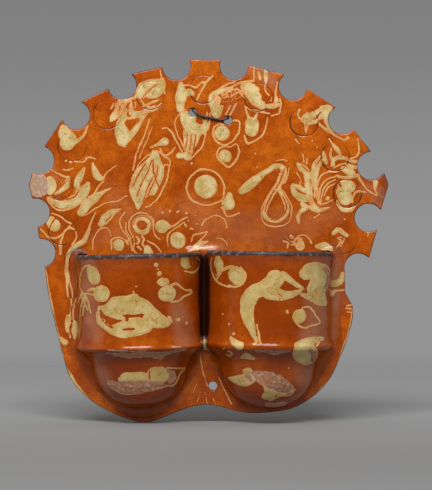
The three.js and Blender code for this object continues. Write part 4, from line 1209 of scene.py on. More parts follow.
def pot_section(side):
    """The outer and the inner line of a pot's wall as (radius, height) from the axis to the rim."""
    middle, right, up = pot_axes(POTS[side])
    loop = section_loops(f"{side}_pocket", middle + 0.01 * right, right)[0]
    away = loop - np.array(middle)
    line = np.stack([-away[:, 1], away @ np.array(up)], axis=1)
    on_axis = np.flatnonzero(line[:, 0] < ON_AXIS)
    start = on_axis[np.argmin(line[on_axis, 1])]
    line = np.roll(line, -start, axis=0)
    top = int(np.argmax(line[:, 1]))
    if line[:top, 0].max() < line[top:, 0].max():
        line = np.roll(line[::-1], 1, axis=0)
        top = int(np.argmax(line[:, 1]))
    inside_wall = line[top:]
    floor = int(np.argmax(inside_wall[:, 0] < ON_AXIS))
    outer = smooth_line(line[: top + 1], OUTER_STEP, 1, False)
    inner = smooth_line(inside_wall[: floor + 1], INNER_STEP, 1, False)
    outer = outer[outer[:, 0] > ON_AXIS]
    inner = inner[inner[:, 0] > ON_AXIS]
    outer = np.vstack([(0, outer[0, 1]), outer])
    inner = np.vstack([inner, (0, inner[-1, 1])])
    inner[0] = outer[-1]
    return outer, inner


sections = {side: pot_section(side) for side in POTS}
for side, (outer, inner) in sections.items():
    print(side, "pot: radius", round(outer[:, 0].max(), 1), "deep", round(-outer[:, 1].min(), 1))


# %% Small helpers for node trees
def add_node(tree, kind, **settings):
    """A new node with its settings, and values for its inputs given by name or number."""
    node = tree.nodes.new(kind)
    inputs = settings.pop("inputs", {})
    for key, value in settings.items():
        setattr(node, key, value)
    for key, value in inputs.items():
        if isinstance(value, bpy.types.NodeSocket):
            tree.links.new(value, node.inputs[key])
        else:
            node.inputs[key].default_value = value
    return node


def maths(tree, operation, *values):
    """The result of a Math node."""
    node = add_node(tree, "ShaderNodeMath", operation=operation, inputs=dict(enumerate(values)))
    return node.outputs[0]


def plus(tree, first, second):
    """The sum of two values."""
    return maths(tree, "ADD", first, second)


def minus(tree, first, second):
    """One value less another."""
    return maths(tree, "SUBTRACT", first, second)


def times(tree, first, second):
    """The product of two values."""
    return maths(tree, "MULTIPLY", first, second)


def row_and_place(tree, per_row):
    """For every point of a grid, the number of its row and its place in that row."""
    index = tree.nodes.new("GeometryNodeInputIndex").outputs[0]
    row = maths(tree, "FLOOR", maths(tree, "DIVIDE", plus(tree, index, 0.5), per_row))
    return row, minus(tree, index, times(tree, row, per_row))


def sampled(tree, guide, value, number, data_type):
    """A value that the guide has at one of its points."""
    return add_node(tree, "GeometryNodeSampleIndex", data_type=data_type, inputs={
        "Geometry": guide, "Value": value, "Index": number,
    }).outputs[0]


def pass_out(tree, geometry, material, result):
    """Makes the geometry real, gives it its material and hands it to the tree's output."""
    real = add_node(tree, "GeometryNodeRealizeInstances", inputs={0: geometry}).outputs[0]
    dressed = add_node(tree, "GeometryNodeSetMaterial", inputs={"Geometry": real, "Material": material})
    tree.links.new(dressed.outputs[0], result.inputs[0])


def new_tree(name, inputs):
    """A geometry tree with named inputs, given as name: (socket type, value)."""
    tree = bpy.data.node_groups.new(name, "GeometryNodeTree")
    tree.interface.new_socket("Geometry", in_out="INPUT", socket_type="NodeSocketGeometry")
    for key, (kind, value) in inputs.items():
        socket = tree.interface.new_socket(key, in_out="INPUT", socket_type=kind)
        socket.default_value = value
    tree.interface.new_socket("Geometry", in_out="OUTPUT", socket_type="NodeSocketGeometry")
    return tree, tree.nodes.new("NodeGroupInput"), tree.nodes.new("NodeGroupOutput")


def grown(name, tree, guide, settings):
    """Runs a tree on a guide mesh and returns the result as a plain mesh object."""
    carrier = bpy.data.objects.new(name, guide)
    bpy.context.scene.collection.objects.link(carrier)
    modifier = carrier.modifiers.new(tree.name, "NODES")
    modifier.node_group = tree
    sockets = {item.name: item.identifier for item in tree.interface.items_tree if item.in_out == "INPUT"}
    for key, value in settings.items():
        modifier[sockets[key]] = value
    view = bpy.context.evaluated_depsgraph_get()
    mesh = bpy.data.meshes.new_from_object(carrier.evaluated_get(view), depsgraph=view)
    carrier.modifiers.remove(modifier)
    bpy.data.objects.remove(carrier)
    mesh.name = name
    piece = bpy.data.objects.new(name, mesh)
    bpy.context.scene.collection.objects.link(piece)
    print(name, "grown:", len(mesh.polygons), "faces")
    return piece


def guide_line(name, points):
    """A guide mesh of points in order, joined by edges, from millimetre points."""
    mesh = bpy.data.meshes.new(name)
    edges = [(k, k + 1) for k in range(len(points) - 1)]
    mesh.from_pydata((np.asarray(points) * MM).tolist(), edges, [])
    return mesh


# %% The wheel, as a tree
glaze = bpy.data.materials.new("honey_glaze_over_slip")
wheel, given, result = new_tree("thrown_half_pot", {
    "Rows": ("NodeSocketInt", 100),
    "Turn steps": ("NodeSocketInt", 200),
    "Ring height": ("NodeSocketFloat", 0.005),
    "Ring depth": ("NodeSocketFloat", 0.0002),
})
columns = plus(wheel, given.outputs["Turn steps"], 1)
grid = add_node(wheel, "GeometryNodeMeshGrid", inputs={
    "Vertices X": columns, "Vertices Y": given.outputs["Rows"],
})
step, level = row_and_place(wheel, given.outputs["Rows"])
position = wheel.nodes.new("GeometryNodeInputPosition").outputs[0]
section_at = sampled(wheel, given.outputs["Geometry"], position, level, "FLOAT_VECTOR")
place = add_node(wheel, "ShaderNodeSeparateXYZ", inputs={0: section_at})
radius, height = place.outputs["X"], place.outputs["Z"]
angle = times(wheel, maths(wheel, "DIVIDE", step, given.outputs["Turn steps"]), math.pi)
climb = plus(wheel, maths(wheel, "DIVIDE", height, given.outputs["Ring height"]), angle)
swell = times(wheel, maths(wheel, "SINE", climb), given.outputs["Ring depth"])
held = maths(wheel, "MINIMUM", times(wheel, radius, 40), 1)
radius = plus(wheel, radius, times(wheel, swell, held))
turned = add_node(wheel, "ShaderNodeCombineXYZ", inputs={
    "X": times(wheel, radius, maths(wheel, "COSINE", angle)),
    "Y": times(wheel, times(wheel, radius, maths(wheel, "SINE", angle)), -1),
    "Z": height,
})
thrown = add_node(wheel, "GeometryNodeSetPosition", inputs={
    "Geometry": grid.outputs["Mesh"], "Position": turned.outputs[0],
})
pass_out(wheel, thrown.outputs[0], glaze, result)
print("the wheel has", len(wheel.nodes), "nodes")

# %% Throw both pots
TURN_STEPS = 230
pots = {}
for side, (outer, inner) in sections.items():
    line = np.vstack([outer, inner[1:]])
    guide = guide_line(f"{side}_section", np.insert(line, 1, 0, axis=1))
    pots[side] = grown(f"{side}_half_pot", wheel, guide, {"Rows": len(line), "Turn steps": TURN_STEPS})


# %% [markdown]
# ## Slip on a round wall
#
# A drop seen on the pot is carried back to the round wall by its height and by how far it lies from the
# pot's middle. Seen from in front the wall turns away to nothing at the seams, so past 60 degrees the place
# runs on evenly with the angle instead, and slip there is stretched no more than twofold.

# %% Trails on the round wall
EASED = math.radians(60)
VIEW_ROUNDS = 4
LEAST_RADIUS = 8.0
SEAM_SHARE = 0.998


def eased(angle):
    """The sine of an angle, carried on as a straight line past 60 degrees."""
    past = np.maximum(np.abs(angle) - EASED, 0)
    inner = np.minimum(np.abs(angle), EASED)
    return np.sign(angle) * (np.sin(inner) + math.cos(EASED) * past)


def wall_radius(side, heights):
    """The outer radius of a pot at heights under its rim."""
    outer = sections[side][0]
    order = np.argsort(outer[:, 1])
    return np.interp(heights, outer[order, 1], outer[order, 0])


def on_pot(side, trail):
    """A trail of photograph places as a smooth trail on a pot's wall."""
    rim_x, rim_z = POTS[side]["rim"]
    flat_x, flat_z, half = in_millimetres(trail).T
    ahead = np.full(len(half), 0.9 * POT_RADIUS)
    for _ in range(VIEW_ROUNDS):
        nearer = 1 - ahead / CAMERA_DISTANCE
        x = EYE_X + (flat_x - EYE_X) * nearer
        z = EYE_Z + (flat_z - EYE_Z) * nearer
        radius = np.maximum(wall_radius(side, z - rim_z), LEAST_RADIUS)
        share = np.clip((x - rim_x) / radius, -SEAM_SHARE, SEAM_SHARE)
        ahead = radius * np.sqrt(1 - share**2)
    seen = rim_x + radius * eased(np.arcsin(share))
    return through(np.stack([seen, z, half], axis=1))


# %% The pots' final shape and values
CHIP_DEPTH = 0.5
RIM_WEAR, RIM_FADE = 4.6, 1.2
BEAD = {"height": -78.5, "proud": 0.55, "spread": 1.5}
# the band of painted shade under the ledge
LEDGE_SHADE = {"height": -84.0, "spread": 3.5}
SKIN = 1.6
UNDERSIDE = -126.0
PRESSED_IN = 0.6


def band(heights, middle, spread):
    """A soft band: 1 at its middle height and nearly 0 beyond twice its spread."""
    return np.exp(-(((heights - middle) / spread) ** 2))


def finish_pot(side, slip_lists, seed):
    """Presses a pot on the slab, chips its ledge and gives its points the values the glaze reads."""
    piece = pots[side]
    faces_out(piece)
    mesh = piece.data
    middle, right, up = (np.array(v) for v in pot_axes(POTS[side]))
    local = points_of(mesh)
    radius = np.hypot(local[:, 0], local[:, 1])
    angle = np.arctan2(local[:, 0], -local[:, 1])
    outer_radius = wall_radius(side, local[:, 2])
    seen = np.stack([middle[0] + outer_radius * eased(angle), middle[2] + local[:, 2]], axis=1)
    outside = (radius > outer_radius - SKIN) | (local[:, 2] < UNDERSIDE)
    trails = {key: [on_pot(side, trail) for trail in given] for key, given in slip_lists.items()}
    slip = marbled(seen, trails, seed, echoes=0.15)
    chips = -nearest(seen, trails["bare"]) + 0.7 * ripple(seen, 3.0, seed + 9)
    bare = smoothstep(chips, -0.15, 0.35) * outside
    sunk = CHIP_DEPTH * bare * (0.7 + 0.5 * ripple(seen, 1.8, seed + 10))
    relief = proud_slip(slip) * outside * (1 - bare)
    bead = BEAD["proud"] * band(local[:, 2], BEAD["height"], BEAD["spread"]) * outside
    grow = (relief + bead - sunk) / np.maximum(radius, 1)
    local[:, 0] *= 1 + grow
    local[:, 1] *= 1 + grow
    local[:, 1] = np.where(local[:, 1] > -1e-4, PRESSED_IN, local[:, 1])
    moved = middle + local[:, :1] * right + local[:, 1:2] * (0, 1, 0) + local[:, 2:] * up
    move_points(mesh, moved)
    height = local[:, 2]
    worn = smoothstep(height + 0.5 * ripple(seen, 6.0, seed + 11), -RIM_WEAR, -RIM_WEAR + RIM_FADE)
    # painted shade under the ledge, inside the pot and toward the valley, where light doesn't reach
    shade_under_ledge = band(height, LEDGE_SHADE["height"], LEDGE_SHADE["spread"]) * outside
    # painted light: the flare above the ledge tilts up to the lamp, so it is painted lighter
    lit_flare = smoothstep(height, -80, -78) * smoothstep(-height, 62, 78)
    toward_valley = -POTS[side]["outer"] * np.degrees(angle)
    shade = smoothstep(toward_valley, 70, 80) * smoothstep(-height, 3, 12) * smoothstep(height, -92, -78)
    # painted shade: the belly faces down, so it is painted darker
    shaded_belly = smoothstep(-height, 100, 124)
    # painted sheen: grey-pink reflections on the wall's sides and belly, on duller glaze
    dull_and_sheen = covered(seen, trails["dull_and_sheen"], -6.0, 4.0)
    values = {
        "slip": np.where(outside, slip, FAR),
        "bare": bare,
        "worn": worn * np.where(outside, 1, 0.4),
        "pool_and_shade": 0.35 * shade_under_ledge + 0.4 * ~outside + 0.75 * shade,
        "deep": 0.75 - 0.32 * lit_flare + 0.15 * shaded_belly + 0.1 * ripple(seen, 20.0, seed + 12),
        "dull_and_sheen": dull_and_sheen * (0.85 + 0.3 * ripple(seen, 9.0, seed + 13)),
    }
    carry(mesh, values)
    print(piece.name, "slip covers", round(float((values["slip"] < 0).mean()), 2))


finish_pot("left", LEFT_POT_SLIP, 31)
finish_pot("right", RIGHT_POT_SLIP, 51)

# %% [markdown]
# ## Luting coils
#
# Coils of soft clay were pressed into the seams and smoothed with a finger, so they show only as round
# fillets. Such a fillet follows the seam, with a hollow quarter circle as its section. Curve to Mesh could
# sweep a section, but its size and its lean change along the seam, so the tree places a grid instead.

# %% The fillet, as a tree
COIL_STEPS = 10
coil_tree, given, result = new_tree("pressed_coil", {
    "Stations": ("NodeSocketInt", 100),
    "Arc steps": ("NodeSocketInt", COIL_STEPS),
    "Buried": ("NodeSocketFloat", 0.0005),
})
arc_steps = given.outputs["Arc steps"]
rows_across = plus(coil_tree, arc_steps, 3)
grid = add_node(coil_tree, "GeometryNodeMeshGrid", inputs={
    "Vertices X": given.outputs["Stations"], "Vertices Y": rows_across,
})
station, across = row_and_place(coil_tree, rows_across)


def at_station(value, data_type):
    """A value of the seam at this grid point's station."""
    return sampled(coil_tree, given.outputs["Geometry"], value, station, data_type)


def seam_value(key, data_type):
    """A named value of the seam at this grid point's station."""
    named = add_node(coil_tree, "GeometryNodeInputNamedAttribute", data_type=data_type)
    named.inputs["Name"].default_value = key
    return at_station(named.outputs["Attribute"], data_type)


seam_at = at_station(coil_tree.nodes.new("GeometryNodeInputPosition").outputs[0], "FLOAT_VECTOR")
size = seam_value("size", "FLOAT")
out = seam_value("out", "FLOAT_VECTOR")
inward = seam_value("inward", "FLOAT_VECTOR")
wall = seam_value("wall", "FLOAT")
turn = times(coil_tree, maths(coil_tree, "DIVIDE", across, arc_steps), math.pi / 2)
outward = times(coil_tree, size, minus(coil_tree, 1, maths(coil_tree, "SINE", turn)))
forward = times(coil_tree, size, minus(coil_tree, 1, maths(coil_tree, "COSINE", turn)))
square = minus(coil_tree, times(coil_tree, wall, wall), times(coil_tree, forward, forward))
lean_in = minus(coil_tree, wall, maths(coil_tree, "SQRT", maths(coil_tree, "MAXIMUM", square, 0)))

# %% The fillet's buried corner and the rows that close it
past_arc = maths(coil_tree, "GREATER_THAN", across, plus(coil_tree, arc_steps, 0.5))
closing = maths(coil_tree, "GREATER_THAN", across, plus(coil_tree, arc_steps, 1.5))
hidden_corner = minus(coil_tree, past_arc, closing)
shown = minus(coil_tree, 1, past_arc)
sunk = times(coil_tree, hidden_corner, times(coil_tree, given.outputs["Buried"], -1))
outward = plus(coil_tree, times(coil_tree, outward, shown), times(coil_tree, size, closing))
outward = plus(coil_tree, outward, sunk)
forward = plus(coil_tree, times(coil_tree, forward, shown), sunk)
lean_in = times(coil_tree, lean_in, shown)


def scaled(vector, amount):
    """A vector times an amount."""
    node = add_node(coil_tree, "ShaderNodeVectorMath", operation="SCALE", inputs={
        0: vector, "Scale": amount,
    })
    return node.outputs[0]


def together(first, second):
    """The sum of two vectors."""
    node = add_node(coil_tree, "ShaderNodeVectorMath", operation="ADD", inputs={0: first, 1: second})
    return node.outputs[0]


to_viewer = add_node(coil_tree, "ShaderNodeCombineXYZ", inputs={"Y": times(coil_tree, forward, -1)})
off_wall = together(scaled(inward, lean_in), to_viewer.outputs[0])
spot = together(together(seam_at, scaled(out, outward)), off_wall)
pressed = add_node(coil_tree, "GeometryNodeSetPosition", inputs={
    "Geometry": grid.outputs["Mesh"], "Position": spot,
})
pass_out(coil_tree, pressed.outputs[0], glaze, result)
print("the fillet has", len(coil_tree.nodes), "nodes")

# %% The seams
SIDE_COIL = 9.5
BASE_COIL = 2.6
BASE_FROM, BASE_TO = 91, 119
SEAM_STEP = 1.4
INNER_END = -84
OVER_RIM = [(44.0, 0.6), (48.0, 1.4), (51.6, 1.2), (53.6, -1.6)]


def seam_line(side):
    """A pot's seam from over its outer rim end, round its base, up to the ledge on its inner side."""
    outer = sections[side][0][::-1]
    wall_line = outer[outer[:, 1] < -5]
    below_ledge = outer[outer[:, 1] < INNER_END][::-1] * (-1, 1)
    return smooth_line(np.vstack([OVER_RIM, wall_line, below_ledge]), SEAM_STEP, 1, False)


def press_coil(side):
    """The coil along one pot's seam, with a size that changes along it."""
    pot = POTS[side]
    middle, right, up = (np.array(v) for v in pot_axes(pot))
    line = seam_line(side)
    ahead = np.gradient(line, axis=0)
    ahead /= np.linalg.norm(ahead, axis=1)[:, None]
    away = np.stack([-ahead[:, 1], ahead[:, 0]], axis=1)
    along = np.linspace(0, 1, len(line))
    low = smoothstep(-line[:, 1], BASE_FROM, BASE_TO)
    size = SIDE_COIL * (1 - low) + BASE_COIL * low
    size = size * (0.25 + 0.75 * smoothstep(along, 0, 0.06)) * (0.2 + 0.8 * smoothstep(-along, -1, -0.95))
    size = size * (1 + 0.08 * ripple(line, 14.0, 71 if side == "left" else 72))
    outer = pot["outer"]
    seam = middle + (outer * line[:, :1]) * right + line[:, 1:] * up
    guide = guide_line(f"{side}_seam", seam)
    carry(guide, {
        "out": outer * away[:, :1] * right + away[:, 1:] * up,
        "inward": -np.sign(line[:, :1]) * outer * right,
        "size": size * MM,
        "wall": np.abs(line[:, 0]) * MM,
    })
    return grown(f"{side}_coil", coil_tree, guide, {"Stations": len(line), "Arc steps": COIL_STEPS})


CRISP = math.radians(50)


def settle(piece, seed, rubbed):
    """Lets a coil follow the slab's waves, and gives it the slip and wear of the slab round it."""
    faces_out(piece)
    mesh = piece.data
    points = points_of(mesh)
    face = points[:, [0, 2]]
    points[:, 1] -= hand_waves(face) + mound(face)
    move_points(mesh, points)
    mesh.set_sharp_from_angle(angle=CRISP)
    values = {
        "slip": slab_slip(face),
        "bare": np.zeros(len(face)),
        "worn": rubbed * smoothstep(face[:, 1], -121, -114),
        "pool_and_shade": 0.1 + 0.15 * ripple(face, 8.0, seed),
        "deep": np.full(len(face), 0.6),
        "dull_and_sheen": slab_dull_and_sheen(face),
    }
    carry(mesh, values)


coils = {side: press_coil(side) for side in POTS}
settle(coils["left"], 80, rubbed=0.8)
settle(coils["right"], 81, rubbed=0.15)

# %% [markdown]
# ## The valley between the pots
#
# A finger pressed more clay into the narrow valley where the pots meet. It is a strip that fills the gap
# from wall to wall, hollow along its middle, so it is made straight from its own rows of points.


# %% The valley's clay
def side_of_pot(side, toward, z, ahead):
    """Where a pot's wall is at a height, some way in front of the slab's face."""
    middle = pot_axes(POTS[side])[0]
    radius = wall_radius(side, z - middle.z)
    across = np.sqrt(np.maximum(radius**2 - ahead**2, 0))
    return middle.x + toward * across - (z - middle.z) * math.tan(math.radians(POTS[side]["sag"]))


VALLEY_TOP, VALLEY_FOOT = -118.2, -199.0
VALLEY_KNOT = -194
VALLEY_DRIP = [(205, 341, 2.2), (206.6, 349, 3)]
VALLEY_ROWS, VALLEY_COLUMNS = 90, 12
heights = np.linspace(VALLEY_TOP, VALLEY_FOOT, VALLEY_ROWS)
share = np.linspace(-1, 1, VALLEY_COLUMNS)
fade = smoothstep(-heights, 116, 124) * smoothstep(heights, VALLEY_FOOT, -190)
bulge = 3.5 * band(heights, VALLEY_KNOT, 5)
depth = (2.0 + 1.2 * fade + bulge)[:, None] + (2.4 * fade)[:, None] * share[None, :] ** 2
left_wall = np.minimum(side_of_pot("left", 1, heights[:, None], depth), 60.0) - 0.5
right_wall = side_of_pot("right", -1, heights[:, None], depth) + 0.5
x = left_wall + (right_wall - left_wall) * (share[None, :] + 1) / 2
front = np.stack([x, SLAB_FRONT - depth, np.broadcast_to(heights[:, None], x.shape)], axis=2)
rear = front.copy()
rear[:, :, 1] = SLAB_FRONT + 1.0
front_points, rear_points = front.reshape(-1, 3), rear.reshape(-1, 3)


def grid_faces(rows, columns):
    """The quads of a grid, as the numbers of its points."""
    number = np.arange(rows * columns).reshape(rows, columns)
    a, b, c, d = number[:-1, :-1], number[:-1, 1:], number[1:, 1:], number[1:, :-1]
    return np.stack([a.ravel(), b.ravel(), c.ravel(), d.ravel()], axis=1)


def rim_of_grid(rows, columns):
    """The numbers of the points round a grid, in order."""
    number = np.arange(rows * columns).reshape(rows, columns)
    return np.concatenate([number[0, :-1], number[:-1, -1], number[-1, :0:-1], number[:0:-1, 0]])


quads = grid_faces(VALLEY_ROWS, VALLEY_COLUMNS)
around = rim_of_grid(VALLEY_ROWS, VALLEY_COLUMNS)
shift = len(front_points)
walls = np.stack([around, np.roll(around, -1), np.roll(around, -1) + shift, around + shift], axis=1)
valley_points = np.vstack([front_points, rear_points])
face = valley_points[:, [0, 2]]
# painted shade: the narrow valley is painted dark, less so round its knot between the ledges
lower = band(face[:, 1], VALLEY_KNOT, 6)
valley_values = {
    "slip": to_trail(face, on_slab(VALLEY_DRIP)),
    "bare": np.zeros(len(face)),
    "worn": np.zeros(len(face)),
    "pool_and_shade": 0.96 - 0.75 * lower,
    "deep": np.ones(len(face)),
    "dull_and_sheen": np.zeros(len(face)),
}
valley_faces = np.vstack([quads, quads[:, ::-1] + shift, walls])
valley = new_piece("valley_coil", valley_points, valley_faces, valley_values)
faces_out(valley)
valley.data.set_sharp_from_angle(angle=CRISP)

# %% [markdown]
# ## The hanging wire
#
# One length of dark coated wire goes through both holes, and its ends are twisted together behind the slab.
# It follows the same route as the model's wire, so Curve to Mesh sweeps a round section along that route.


# %% The wire's route, point by point
WIRE_RADIUS = 0.9
WIRE_GAP = 0.7
WIRE_RISE = 2.1
WIRE_HOLES = ((-11.8, 2.7), (18.3, -4.0))
# the twist's place, its foot and top, its turns and its radius
TWIST = {"x": 2.6, "y": 2.95, "foot": 19.0, "top": 33.0, "turns": 2, "radius": 1.35}
# how far along the span each place is, and how far the wire hangs down there
SPANS = ((0.08, 2.2), (0.2, 3.4), (0.5, 3.3), (0.8, 3.1), (0.93, 1.8))


def strand(start):
    """One strand of the twist, from its foot to its splayed end."""
    turns = start + np.linspace(0, 2 * math.pi * TWIST["turns"], 8 * TWIST["turns"] + 1)
    x = TWIST["x"] + TWIST["radius"] * np.cos(turns)
    y = TWIST["y"] + TWIST["radius"] * np.sin(turns)
    z = np.linspace(TWIST["foot"], TWIST["top"], len(turns))
    line = np.stack([x, y, z], axis=1)
    return np.vstack([line, line[-1] + (1.6 * math.cos(turns[-1]), 0.4, 2.6)])


def leg(hole):
    """The wire from the back, through one hole, to the front."""
    x, z = hole
    lean = TWIST["x"] - x
    back = WIRE_RADIUS + WIRE_GAP
    return np.array([
        (x + 0.3 * lean, back + 0.4, z + WIRE_RISE + 6.4),
        (x + 0.06 * lean, back + 0.2, z + WIRE_RISE + 2.4),
        (x, 0, z + WIRE_RISE),
        (x, SLAB_FRONT / 2, z + WIRE_RISE),
        (x, SLAB_FRONT - 0.6, z + WIRE_RISE),
    ])


left_hole, right_hole = (np.array(hole) for hole in WIRE_HOLES)
apart = right_hole - left_hole
span_places = [left_hole + share * apart + (0, WIRE_RISE - drop) for share, drop in SPANS]
span_front = SLAB_FRONT - WIRE_RADIUS - WIRE_GAP
across_front = [(x, span_front, z) for x, z in span_places]
route = np.vstack([
    strand(math.pi)[::-1], leg(left_hole), across_front, leg(right_hole)[::-1], strand(0.0),
])
print("the wire's route has", len(route), "points")


# %% The wire
def centripetal(points, cuts=8):
    """A smooth curve through points, with knots spaced by the root of their distance."""
    ends = np.vstack([2 * points[0] - points[1], points, 2 * points[-1] - points[-2]])
    t = np.linspace(0, 1, cuts, endpoint=False)[:, None]
    spans = []
    for a, b, c, d in zip(ends, ends[1:], ends[2:], ends[3:]):
        k0, k1, k2 = (math.sqrt(np.linalg.norm(q - p)) for p, q in ((a, b), (b, c), (c, d)))
        go = k1 * ((b - a) / k0 - (c - a) / (k0 + k1) + (c - b) / k1)
        stop = k1 * ((c - b) / k1 - (d - b) / (k1 + k2) + (d - c) / k2)
        spans.append(b + go * t + (3 * (c - b) - 2 * go - stop) * t**2 + (2 * (b - c) + go + stop) * t**3)
    return np.vstack([*spans, points[-1:]])


coating = bpy.data.materials.new("dark_green_coating")
wire_tree, given, result = new_tree("wire_on_its_route", {
    "Radius": ("NodeSocketFloat", 0.0009),
    "Sides": ("NodeSocketInt", 16),
})
curve = add_node(wire_tree, "GeometryNodeMeshToCurve", inputs={"Mesh": given.outputs["Geometry"]})
section = add_node(wire_tree, "GeometryNodeCurvePrimitiveCircle", inputs={
    "Resolution": given.outputs["Sides"], "Radius": given.outputs["Radius"],
})
swept = add_node(wire_tree, "GeometryNodeCurveToMesh", inputs={
    "Curve": curve.outputs[0], "Profile Curve": section.outputs[0], "Fill Caps": True,
})
pass_out(wire_tree, swept.outputs[0], coating, result)

wire_line = evenly(centripetal(route), 0.7, False)
wire = grown("twisted_wire", wire_tree, guide_line("wire_route", wire_line), {"Radius": WIRE_RADIUS * MM})
faces_out(wire)
wire.data.shade_smooth()

# %% [markdown]
# ## Honey glaze over red clay and cream slip
#
# Lead glaze is clear and yellow-brown. Over red clay it looks orange, over cream slip it looks butter
# yellow, and where it pools it looks nearly black. So one material mixes those three by the values that the
# meshes carry. The same values also paint shade into the colour, under the ledges, inside the pots and in
# the valley, and paint a pinkish sheen of reflection on duller glaze. Everything else, such as veins,
# specks and the glaze's own ripples, is noise.


# %% Shader helpers
def colour(red, green, blue):
    """An sRGB colour of 0 to 255 as the linear colour that a shader takes."""
    parts = [part / 255 for part in (red, green, blue)]
    return (*(p / 12.92 if p <= 0.04045 else ((p + 0.055) / 1.055) ** 2.4 for p in parts), 1)


def shader_tree(material):
    """The material's tree with a plain Principled shader and object coordinates."""
    material.use_nodes = True
    tree = material.node_tree
    tree.nodes.clear()
    shader = tree.nodes.new("ShaderNodeBsdfPrincipled")
    output = tree.nodes.new("ShaderNodeOutputMaterial")
    tree.links.new(shader.outputs[0], output.inputs[0])
    return tree, shader, tree.nodes.new("ShaderNodeTexCoord").outputs["Object"]


def noise(tree, where, scale, detail, twist=0.0):
    """Noise around one half; its scale is in bumps per metre."""
    node = add_node(tree, "ShaderNodeTexNoise", inputs={
        "Vector": where, "Scale": scale, "Detail": detail, "Distortion": twist, "Roughness": 0.55,
    })
    return node.outputs[0]


def stepped(tree, value, low, high, low_to=0.0, high_to=1.0):
    """A smooth step from one value to another."""
    node = add_node(tree, "ShaderNodeMapRange", interpolation_type="SMOOTHSTEP", inputs={
        "Value": value, "From Min": low, "From Max": high, "To Min": low_to, "To Max": high_to,
    })
    return node.outputs[0]


def grain(tree, where, scale, detail, *steps):
    """Noise with a smooth step across it."""
    return stepped(tree, noise(tree, where, scale, detail), *steps)


def mixed(tree, amount, first, second):
    """Two colours mixed by an amount."""
    node = add_node(tree, "ShaderNodeMix", data_type="RGBA")
    for number, value in ((0, amount), (6, first), (7, second)):
        if isinstance(value, bpy.types.NodeSocket):
            tree.links.new(value, node.inputs[number])
        else:
            node.inputs[number].default_value = value
    return node.outputs[2]


def carried(tree, key):
    """A value that the mesh carries."""
    return add_node(tree, "ShaderNodeAttribute", attribute_name=key).outputs["Fac"]


# %% Colours of the glazed ware
ORANGE = colour(226, 116, 22)
RED_ORANGE = colour(192, 84, 12)
DEEP_ORANGE = colour(168, 68, 2)
DEEP_BROWN = colour(138, 52, 2)
DARK_POOL_AND_SHADE = colour(38, 14, 5)
CREAM = colour(232, 208, 150)
CREAM_DEEP = colour(206, 174, 104)
CREAM_OLIVE = colour(184, 152, 74)
CREAM_THIN = colour(238, 156, 88)
VEIN = colour(160, 106, 46)
BARE_CLAY = colour(190, 158, 132)
BARE_DARK = colour(164, 122, 94)
BARE_PALE = colour(212, 190, 164)
BARE_DEEP = colour(182, 118, 80)
BARE_STAIN = colour(104, 62, 46)
WORN_RIM = colour(64, 50, 48)
WORN_PALE = colour(132, 116, 112)
PAINTED_SHEEN = colour(184, 126, 94)

# %% Clay under the glaze
tree, shader, where = shader_tree(glaze)
slip, bare, worn, pool_and_shade, deep, dull_and_sheen = (
    carried(tree, key) for key in ("slip", "bare", "worn", "pool_and_shade", "deep", "dull_and_sheen")
)
broad = grain(tree, where, 30, 3, 0.36, 0.66)
clay = mixed(tree, broad, ORANGE, RED_ORANGE)
deep_clay = mixed(tree, broad, DEEP_ORANGE, DEEP_BROWN)
clay = mixed(tree, deep, clay, deep_clay)
blotches = grain(tree, where, 170, 4, 0.38, 0.66, 0, 0.4)
clay = mixed(tree, blotches, clay, DEEP_BROWN)
mottle = grain(tree, where, 900, 4, 0.4, 0.72, 0, 0.55)
clay = mixed(tree, mottle, clay, DEEP_BROWN)
# pooled glaze, and painted shade under the ledges, inside the pots and in the valley
clay = mixed(tree, maths(tree, "MINIMUM", maths(tree, "MAXIMUM", pool_and_shade, 0), 1), clay, DARK_POOL_AND_SHADE)
# painted sheen: a pinkish grey reflection mixed in where the glaze is dull
clay = mixed(tree, times(tree, dull_and_sheen, 0.5), clay, PAINTED_SHEEN)

# %% Cream slip, with its edge, its flow lines and its specks
fray = times(tree, minus(tree, noise(tree, where, 900, 3), 0.5), 0.7)
frayed = plus(tree, slip, fray)
cream_mask = stepped(tree, frayed, -0.24, 0.18, 1, 0)
halo = stepped(tree, frayed, 0.1, 1.0, 0.4, 0)
clay = mixed(tree, halo, clay, DEEP_BROWN)

cream = mixed(tree, grain(tree, where, 120, 3, 0.4, 0.65), CREAM, CREAM_DEEP)
cream = mixed(tree, times(tree, deep, 0.6), cream, CREAM_OLIVE)
thin = times(tree, stepped(tree, frayed, -1.2, -0.15, 0, 0.85), stepped(tree, deep, 0.2, 0.7, 1, 0.55))
cream = mixed(tree, thin, cream, CREAM_THIN)
wander = times(tree, noise(tree, where, 160, 2), 2.6)
flow = maths(tree, "ABSOLUTE", plus(tree, plus(tree, slip, wander), -0.1))
flow = stepped(tree, flow, 0.05, 0.22, 0.75, 0)
vein_noise = noise(tree, where, 95, 2, 1.6)
vein = stepped(tree, maths(tree, "ABSOLUTE", minus(tree, vein_noise, 0.5)), 0.003, 0.018, 0.5, 0)
vein_gate = grain(tree, where, 70, 2, 0.44, 0.56)
vein = times(tree, maths(tree, "MAXIMUM", vein, flow), vein_gate)
swirl = plus(tree, slip, times(tree, noise(tree, where, 240, 3), 1.6))
hairline = stepped(tree, maths(tree, "PINGPONG", swirl, 0.62), 0.05, 0.2, 0.62, 0)
hairline = times(tree, hairline, grain(tree, where, 48, 3, 0.46, 0.54))
vein = maths(tree, "MAXIMUM", vein, hairline)
cream = mixed(tree, vein, cream, VEIN)
speck = grain(tree, where, 1300, 2, 0.62, 0.74, 0, 0.4)
cream = mixed(tree, speck, cream, VEIN)
surface = mixed(tree, cream_mask, clay, cream)
iron = add_node(tree, "ShaderNodeTexVoronoi", inputs={"Vector": where, "Scale": 110})
